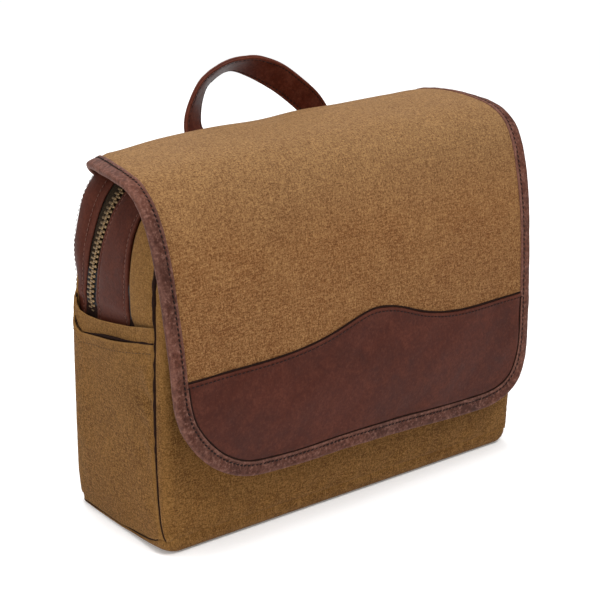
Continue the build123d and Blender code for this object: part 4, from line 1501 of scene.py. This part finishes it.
for side, word in SIDES:
    half = -LEFT_X if side < 0 else RIGHT_X
    obj, pocket = side_sheet(f"pocket_{word}", side, half, POCKET_TOP, pocket_bottom,
                             pocket_bulge, thickness=1.5, seed=71 if side < 0 else 75,
                             hem=True)
    attach(obj, "bag", "body_canvas", f"{word}_side_pocket", f"{word}_side_panel")
    attach(hem_stitches(word, side, pocket), "bag", "body_canvas")
    obj, _ = side_sheet(f"pocket_facing_{word}", side, half, FACING_TOP, facing_bottom,
                        facing_bulge, thickness=1.1, seed=81, noise=0.2, edge_in=1.6)
    attach(obj, "bag", "body_canvas", f"{word}_pocket_facing")
    attach(pocket_mouth(word, side, half), "bag", "body_canvas")
    attach(foot_seam(word, side, half), "bag", "body_canvas")


# ============================================================ painted shade: dark core and seam shadow lines
def seam_core():
    """Painted shade: a dark body behind the seams, so that the gaps there read as shadow."""
    path = np.concatenate([[(-154.6, 9), (-154.8, 60)], arch[::12] * (0.982, 1) - (0, 3.0),
                           [(155, 60), (154.8, 9)]])
    rings = []
    for y in (-46.6, -44.5, -38, -20, 0, 20, 40, 48.5, 50.2):
        inset = 0.0 if -46 < y < 50 else 1.2
        x, z = path.T
        z = np.where(z > 150, smooth_min(z, lookup(-y, BROW) - 4.5, 6.0), z)
        rings.append(np.stack([x * (1 - inset / 150), np.full(len(x), y), z - inset], -1))
    return loft("seam_core", np.stack(rings), PAINTED_SHADE)


core = seam_core()
attach(core, "bag", "body_canvas")
attach(tray, "bag", "body_canvas", "bottom_panel")
for obj, turn_in in ((tray, False), (front_panel, True), (back_panel, True), (core, False)):
    swell_object(obj, turn_in)

# (z, extra radius) of the painted seam shadow on the front panel, widest at the deep crease
# beside the gusset
FRONT_LINE_EXTRA = [(0, 0), (60, 0), (80, 0.35), (130, 0.4), (146, 0.15), (156, 0.3),
                    (166, 1.2), (188, 1.2), (200, 0.5), (207, 0), (400, 0)]


def seam_shadow_line(word, loop, inset):
    """Painted shade: a dark tube round the rim of the front or back panel, standing for the
    shadow in its seam.
    """
    line = close_loop(loop + loop_inward(loop) * inset)
    x, z = line.T
    if word == "front":
        y = front_rim_y(line) + 0.15
        radius = 0.75 + lookup(z, FRONT_LINE_EXTRA)
    else:
        y = np.full(len(line), 50.4)
        radius = np.full(len(line), 0.75)
    line = np.stack([x - toe(x, y, z), y, z], -1)
    radius = radius + 0.35 * ripple(line, 9.0, 33) * (radius > 0.9)
    return tube(f"seam_shadow_line_{word}", swell_left(line), np.clip(radius, 0.5, 2.4), PAINTED_SHADE)


attach(seam_shadow_line("front", front_loop, 0.55), "bag", "body_canvas")
attach(seam_shadow_line("back", back_loop, 0.9), "bag", "body_canvas")

# ============================================================ carry strap
STRAP_WIDTH = 20.2
STRAP_LEFT_X, STRAP_RIGHT_X = -49.9, 64.0
# (x, y, z) of its centre line, from the left foot to the right
STRAP_LINE = [
    (STRAP_LEFT_X, 60.4, 205), (STRAP_LEFT_X, 60.6, 219), (STRAP_LEFT_X, 60.9, 232),
    (-49.8, 61.6, 240.1), (-50.5, 66.2, 248.7), (-48.7, 69.3, 258.5), (-45.1, 70.2, 268.6),
    (-40.0, 69.8, 278.1), (-32.9, 69.2, 284.4), (-23.7, 67.7, 289.4), (-12.5, 66.7, 291.1),
    (-1.3, 65.6, 289.1), (10.9, 64.5, 284.2), (24.1, 64.7, 277.3), (38.3, 64.7, 267.4),
    (50.0, 64.0, 257.7), (58.8, 62.6, 246.0), (63.2, 61.0, 232), (STRAP_RIGHT_X, 60.6, 219),
    (STRAP_RIGHT_X, 60.4, 205)]
# direction of its width at each of those points
STRAP_ACROSS = [
    (1, 0, 0), (1, 0, 0), (1, 0, 0), (1, .1, 0), (.93, .36, -.08), (.87, .46, -.17),
    (.8, .57, -.2), (.7, .62, -.26), (.6, .68, -.36), (.6, .7, -.36), (.5, .7, -.5),
    (.22, .62, -.78), (0, .5, -.88), (-.42, .3, -.86), (-.62, .38, -.7), (-.8, .22, -.58),
    (-.92, .1, -.36), (-1, 0, 0), (-1, 0, 0), (-1, 0, 0)]
# half of one face's section, (share of the half width, height), with the stitch groove
STRAP_FACE = [(-1, 1), (-0.97, 1.35), (-0.92, 1.6), (-0.86, 1.72), (-0.80, 1.6),
              (-0.76, 1.48), (-0.72, 1.62), (-0.62, 1.76), (-0.3, 1.85)]
STRAP_EDGE = [(1.012, 0.5), (0.985, 0.08), (0.985, -0.08), (1.012, -0.5)]

lengths = run_length(STRAP_LINE)
places = np.linspace(0, lengths[-1], 230)
strap_line = spline(lengths, STRAP_LINE)(places)
forward = unit(np.gradient(strap_line, axis=0))
strap_across = spline(lengths, STRAP_ACROSS)(places)
strap_across = unit(strap_across - (strap_across * forward).sum(1)[:, None] * forward)
strap_normal = np.cross(forward, strap_across)
# keep the face's side the same all along
for i in range(1, len(strap_normal)):
    if strap_normal[i] @ strap_normal[i - 1] < 0:
        strap_normal[i] = -strap_normal[i]


def strap_at(share, height):
    return strap_line + strap_across * (share * STRAP_WIDTH / 2) + strap_normal * height


face = STRAP_FACE + [(-share, height) for share, height in STRAP_FACE[::-1]]
section = (face + STRAP_EDGE + [(share, -height) for share, height in face[::-1]]
           + [(-share, -height) for share, height in STRAP_EDGE])
rings = np.stack([strap_at(share, height) for share, height in section], 1)
rings = rings + strap_normal[:, None, :] * (ripple(rings, 18, 91) * 0.10
                                            + ripple(rings, 6, 92) * 0.04)[..., None]
strap = loft("carry_strap", rings, STRAP_LEATHER)
on_strap(strap)
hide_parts("handle_strap", "handle_backing", "handle_feet")
for k, (share, out) in enumerate(((-0.76, 1), (0.76, 1), (-0.76, -1), (0.76, -1))):
    on_strap(stitches(f"carry_strap_stitches_{k}", strap_at(share, 1.5 * out)[2:-2],
                      strap_normal[2:-2] * out, THREAD_DARK, width=0.75, height=0.5,
                      lift=0.06))

# ============================================================ strap patches and rivets
PATCH_HALF_WIDTH, PATCH_HALF_HEIGHT = 15.0, 19.0
PATCH_Y, PATCH_Z = 58.6, 219
RIVET_Y, RIVET_Z = 62.3, 212.5
# (inset, rise) of the patch's rings; the stitches sit in the dip of ring 5
PATCH_RINGS = [(0.0, -1.6), (0.0, -0.2), (0.35, 0.25), (1.2, 0.5), (2.6, 0.42), (3.2, 0.25),
               (3.8, 0.42), (8.0, 0.5), (13, 0.5)]
# (radius, rise): a domed cap with a rim
RIVET_RINGS = [(4.2, -0.6), (4.35, 0.0), (4.2, 0.45), (3.7, 0.75), (3.3, 0.72), (3.0, 0.95),
               (2.2, 1.35), (1.2, 1.58), (0.4, 1.64)]


def strap_patch(word, x):
    a = np.linspace(0, 2 * np.pi, 48, endpoint=False)
    across, up = signed_power(np.cos(a), 0.35), signed_power(np.sin(a), 0.35)
    rings = np.stack([
        np.stack([x + across * max(PATCH_HALF_WIDTH - inset, 1.5),
                  np.full(48, PATCH_Y + rise),
                  PATCH_Z + up * max(PATCH_HALF_HEIGHT - inset, 1.5)], -1)
        for inset, rise in PATCH_RINGS])
    faces = grid_faces(len(rings), 48, wrap=True) + [cap(len(rings) - 1, 48),
                                                     cap(0, 48)[::-1]]
    obj = make(f"strap_patch_{word}", rings.reshape(-1, 3), faces, LEATHER)
    fix_normals(obj)
    return obj, close_loop(rings[5])


def strap_rivet(word, x):
    a = np.linspace(0, 2 * np.pi, 28, endpoint=False)
    return loft(f"strap_rivet_{word}", np.stack([
        np.stack([x + radius * np.cos(a), np.full(28, RIVET_Y + rise),
                  RIVET_Z + radius * np.sin(a)], -1)
        for radius, rise in RIVET_RINGS]), BRASS)


for side, word in SIDES:
    x = STRAP_LEFT_X if side < 0 else STRAP_RIGHT_X
    obj, line = strap_patch(word, x)
    attach(obj, "bag", "dark_leather", *(["handle_patches"] if side < 0 else []))
    attach(stitches(f"strap_patch_stitches_{word}", line,
                    np.tile([0.0, 1, 0], (len(line), 1)), THREAD_DARK, width=0.75,
                    height=0.5), "bag", "dark_leather")
    attach(strap_rivet(word, x), "bag", "antique_brass",
           *(["handle_rivets"] if side < 0 else []))

# ============================================================ snaps under the flap
SNAP_X, SNAP_Z = 95.0, 72.0
# (radius, height) of the turned parts
SOCKET = [(8.6, -0.4), (8.8, 0.3), (8.4, 0.9), (7.4, 1.2), (4.2, 1.25), (3.4, 1.1),
          (2.6, 0.6), (0.3, 0.55)]
STUD = [(8.6, -0.4), (8.8, 0.3), (8.4, 0.9), (7.4, 1.2), (4.4, 1.25), (3.2, 1.35),
        (2.2, 2.2), (1.6, 2.6), (0.3, 2.7)]

panel_points = get_points(front_panel.data)
for side, word in SIDES:
    x = side * SNAP_X
    near = np.hypot(panel_points[:, 0] - x, panel_points[:, 2] - SNAP_Z) < 8
    y = panel_points[near, 1].min()
    attach(disc(f"snap_socket_{word}", SOCKET, (x, y, SNAP_Z), (0, -1, 0), BRASS),
           "bag", "antique_brass", *(["snap_sockets"] if side < 0 else []))
    s = s_at_height([x], [SNAP_Z])
    under, normals = flap_point(np.array([x]), s, -2.2)
    attach(disc(f"snap_stud_{word}", STUD, under[0], -normals[0], BRASS),
           "flap_front", "antique_brass", *(["snap_studs"] if side < 0 else []))

# ============================================================ zip pull tab
# (distance below its top or above its foot, half width, half thickness)
TAB_UPPER = [(0, 1.7, 0.9), (1.2, 1.9, 1.35), (3.0, 1.95, 1.4), (4.6, 2.3, 1.4),
             (5.6, 3.2, 1.38), (7.2, 4.2, 1.35), (12, 4.4, 1.28), (18, 4.4, 1.2),
             (24, 4.4, 1.2)]
TAB_LOWER = [(3.2, 4.2, 1.2), (1.4, 3.4, 1.12), (0.5, 2.5, 1.0), (0.05, 1.2, 0.7)]

low, high = node_box("zip_pull_tab")
tab_x, tab_y, _ = 0.5 * (low + high)
foot_z, top_z = low[2], high[2]
stations = ([(top_z - d, width, depth) for d, width, depth in TAB_UPPER]
            + [(foot_z + d, width, depth) for d, width, depth in TAB_LOWER])
last = len(stations) - 1
a = np.linspace(0, 2 * np.pi, 32, endpoint=False)
rings = np.stack([
    np.stack([tab_x + signed_power(np.sin(a), 0.7) * max(depth, 0.3),
              tab_y + signed_power(np.cos(a), 0.55) * max(width, 0.3), np.full(32, z)], -1)
    for z, width, depth in spline(np.arange(last + 1), stations)(np.linspace(0, last, 70))])
attach(loft("zip_pull_tab_leather", rings, STRAP_LEATHER), "zip_pull", "dark_leather",
       "zip_pull_tab")
for side, letter in ((-1, "a"), (1, "b")):
    # down one edge, across the foot and up the other
    run = np.linspace(top_z - 8.5, foot_z + 3.6, 12)
    x = tab_x + side * 1.18
    line = np.array([(x, tab_y - 3.1, z) for z in run]
                    + [(tab_x + side * 1.1, tab_y + y, foot_z + 2.2) for y in (-1.6, 0, 1.6)]
                    + [(x, tab_y + 3.1, z) for z in run[::-1]])
    attach(stitches(f"zip_pull_tab_stitches_{letter}", line,
                    np.tile([float(side), 0, 0], (len(line), 1)), THREAD_DARK, width=0.55,
                    height=0.35, pitch=2.6, length=1.8, lift=0.05),
           "zip_pull", "dark_leather")


# ============================================================ padding and dividers
def rounded_rect(width, height, radius):
    corners = []
    x, y = width / 2 - radius, height / 2 - radius
    for cx, cy, start in ((x, y, 0), (-x, y, 90), (-x, -y, 180), (x, -y, 270)):
        a = np.radians(np.linspace(start, start + 90, 9))
        corners.append(np.stack([cx + radius * np.cos(a), cy + radius * np.sin(a)], -1))
    return even_loop(np.concatenate(corners))


def pad(name, outline, origin, axes, thickness, mat, seed, edge=3.0):
    """Soft pad with a rounded edge; axes are the two in its plane, as 0, 1 or 2."""
    u, v = axes
    U, V, W = np.eye(3)[[u, v, 3 - u - v]]
    middle = outline.mean(0)
    reach = np.linalg.norm(outline - middle, axis=1).min()
    front, back = [], []
    for scale in 1 - np.linspace(0, 1, 22) ** 1.7 * 0.985:
        flat = middle + (outline - middle) * scale
        d = (1 - scale) * reach
        half = thickness / 2 * math.sqrt(1 - (1 - min(d / edge, 1)) ** 2)
        base = origin + flat[:, :1] * U + flat[:, 1:] * V
        for rings, out, ring_seed in ((front, 1, seed), (back, -1, seed + 9)):
            uneven = (ripple(base, 55, ring_seed) * 0.22 - 0.25) * min(d / 8.0, 1)
            rings.append(base + out * W * (half + uneven)[:, None])
    obj = loft(name, np.stack(back[::-1] + front[1:]), mat)
    fix_normals(obj)
    return obj


def box_pad(name, node, axes, radius, slack, mat, seed, edge=3.0):
    """A pad that fills a CAD piece's box."""
    low, high = node_box(node)
    size = high - low
    u, v = axes
    outline = rounded_rect(size[u] - 0.35, size[v] - 0.35, radius)
    return pad(name, outline, 0.5 * (low + high), axes, size[3 - u - v] - slack, mat, seed,
               edge)


X, Y, Z = 0, 1, 2
for word, axes, radius, slack, seed in (
        ("left", (Y, Z), 6.0, 0.5, 210), ("right", (Y, Z), 6.0, 0.5, 211),
        ("bottom", (X, Y), 8.0, 0.4, 221), ("front", (X, Z), 12.0, 0.5, 231)):
    attach(box_pad(f"pad_{word}", f"foam_{word}", axes, radius, slack, FOAM, seed),
           "bag", "foam", f"foam_{word}")


def pad_back():
    """Follows the arch inside the back panel."""
    low, high = node_box("foam_back")
    middle = 0.5 * (low + high)
    over = arch[::10] - arch_out[::10] * 8.5
    over = over[over[:, 1] > 60]
    z = low[2]
    outline = even_loop(np.concatenate([[(-146, z + 1.5), (-149, z + 5), (-149, 50)], over,
                                        [(149, 50), (149, z + 5), (146, z + 1.5)]]))
    outline[:, 1] = np.minimum(outline[:, 1], high[2] - 0.6)
    return pad("pad_back", outline - (0, middle[2]), np.array([0, middle[1], middle[2]]),
               (X, Z), high[1] - low[1] - 0.5, FOAM, 241)


attach(pad_back(), "bag", "foam", "foam_back")

for node, seed in (("divider_left", 263), ("divider_right", 264)):
    attach(box_pad(f"soft_{node}", node, (Y, Z), 5.0, 0.6, LINING_NO_UV, seed, edge=3.6),
           node, "lining_fabric", node)
    low, high = node_box(node)
    size, middle = high - low, 0.5 * (low + high)
    outline = close_loop(rounded_rect(size[1] - 9.0, size[2] - 9.0, 4.0))
    for side, letter in ((-1, "a"), (1, "b")):
        x = middle[0] + side * (size[0] / 2 - 0.5)
        line = np.column_stack([np.full(len(outline), x), middle[1:] + outline])
        attach(stitches(f"soft_{node}_stitches_{letter}", line,
                        np.tile([float(side), 0, 0], (len(line), 1)), THREAD_CANVAS,
                        width=0.6, height=0.4, pitch=3.6), node, "lining_fabric")

# ============================================================ lining
# (inset, distance below its top) and (inset, distance above its foot)
LINING_UPPER = [(0.3, 0.6), (0.1, 3), (0.15, 12), (0.2, 40), (0.25, 80)]
LINING_LOWER = [(0.2, 22), (0.2, 8), (0.4, 5), (1.2, 2.6), (2.8, 1.0), (5.5, 0.3),
                (12, 0.15), (26, 0.15), (40, 0.15)]


def lining():
    low, high = node_box("lining")
    width, depth, _ = high - low
    middle = 0.5 * (low + high)
    count = len(rounded_rect(width, depth, 9.0))
    rings = []
    for inset, z in ([(inset, high[2] - d) for inset, d in LINING_UPPER]
                     + [(inset, low[2] + d) for inset, d in LINING_LOWER]):
        outline = rounded_rect(width - 2 * inset, depth - 2 * inset, max(9.0 - inset, 2.5))
        outline = even_points(close_loop(outline), count + 1)[:-1]
        rings.append(np.column_stack([middle[:2] + outline, np.full(count, z)]))
    faces = grid_faces(len(rings), count, wrap=True) + [cap(len(rings) - 1, count)]
    obj = make("soft_lining", np.concatenate(rings), faces, LINING_NO_UV)
    thicken(obj, 0.9)
    return obj


def inner_pocket():
    low, high = node_box("inner_slip_pocket")
    u = np.linspace(0, 1, 80)[:, None]
    v = np.linspace(0, 1, 44)[None, :]
    x = low[0] + 1 + (high[0] - low[0] - 2) * u + 0 * v
    z = low[2] + 1 + (high[2] - low[2] - 2) * v + 0 * u
    y = high[1] - 0.35 - 0.35 * np.sin(np.pi * u) * v
    return sheet("soft_inner_pocket", np.stack([x, y, z], -1)[::-1], LINING, 0.6,
                 (0, -1, 0), np.stack([x, z], -1)[::-1])


attach(lining(), "bag", "lining_fabric", "lining")
attach(inner_pocket(), "bag", "lining_fabric", "inner_slip_pocket")

# ============================================================ CAD pieces still shown
CAD_FINISH = {"zip_slider": BRASS, "zip_puller": BRASS, "zip_end_stops": BRASS,
              "base_board": BOARD}
for name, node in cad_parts.items():
    if name in CAD_FINISH:
        node.data.materials.clear()
        node.data.materials.append(CAD_FINISH[name])

# ============================================================ studio
FLOOR_RADIUS = 1600
outline = [(FLOOR_RADIUS * math.cos(a), FLOOR_RADIUS * math.sin(a), 0)
           for a in np.linspace(0, 2 * np.pi, 97)[:-1]]
floor = make("floor", outline, [cap(0, 96)], floor_material(), smooth=False)
floor.location.z = -0.0004

scene = bpy.context.scene
scene.view_settings.view_transform = "Standard"


def studio_world(lighting, backdrop):
    """White world: one strength for lighting, one as the camera sees it."""
    world = bpy.data.worlds.new("studio")
    scene.world = world
    world.use_nodes = True
    tree = world.node_tree
    background = tree.nodes["Background"]
    background.inputs[0].default_value = (1.0, 1.0, 1.0, 1)
    path = tree.nodes.new("ShaderNodeLightPath")
    strength = tree.nodes.new("ShaderNodeMapRange")
    strength.inputs["To Min"].default_value = lighting
    strength.inputs["To Max"].default_value = backdrop
    tree.links.new(path.outputs["Is Camera Ray"], strength.inputs["Value"])
    tree.links.new(strength.outputs[0], background.inputs[1])


def area_light(name, location, target, size, power):
    light = bpy.data.lights.new(name, "AREA")
    light.shape = "RECTANGLE"
    light.size, light.size_y = size
    light.energy = power
    obj = bpy.data.objects.new(name, light)
    scene.collection.objects.link(obj)
    obj.location = location
    aim = Vector(target) - Vector(location)
    obj.rotation_euler = aim.to_track_quat("-Z", "Y").to_euler()


def add_camera(location, heading, pitch, roll, lens):
    """heading turns from +Y towards +X, pitch looks down; both and roll in degrees."""
    data = bpy.data.cameras.new("camera")
    data.sensor_width = 36.0
    data.lens = lens
    data.clip_end = 50
    camera = bpy.data.objects.new("camera", data)
    scene.collection.objects.link(camera)
    heading, pitch, roll = (math.radians(angle) for angle in (heading, pitch, roll))
    forward = np.array([math.sin(heading) * math.cos(pitch),
                        math.cos(heading) * math.cos(pitch), -math.sin(pitch)])
    level = np.array([math.cos(heading), -math.sin(heading), 0.0])
    upright = np.cross(level, forward)
    right = math.cos(roll) * level + math.sin(roll) * upright
    up = -math.sin(roll) * level + math.cos(roll) * upright
    rows = np.column_stack([right, up, -forward, location]).tolist()
    camera.matrix_world = Matrix(rows + [(0, 0, 0, 1)])
    scene.camera = camera


studio_world(lighting=0.42, backdrop=1.02)
area_light("key", location=(0.1, -1.5, 2.3), target=(0, 0, 0.12), size=(1.2, 0.9), power=36)
area_light("top", location=(-0.2, 0.3, 2.4), target=(0, 0, 0.1), size=(1.8, 1.8), power=44)
area_light("fill", location=(-2.4, -0.7, 1.2), target=(0, 0, 0.12), size=(1.2, 1.4), power=20)
area_light("back", location=(0.6, 2.4, 1.4), target=(0, 0, 0.2), size=(1.8, 1.2), power=16)
add_camera(location=(-0.6413, -0.78266, 0.46636), heading=39.0617, pitch=18.358,
           roll=0.9175, lens=89.87)
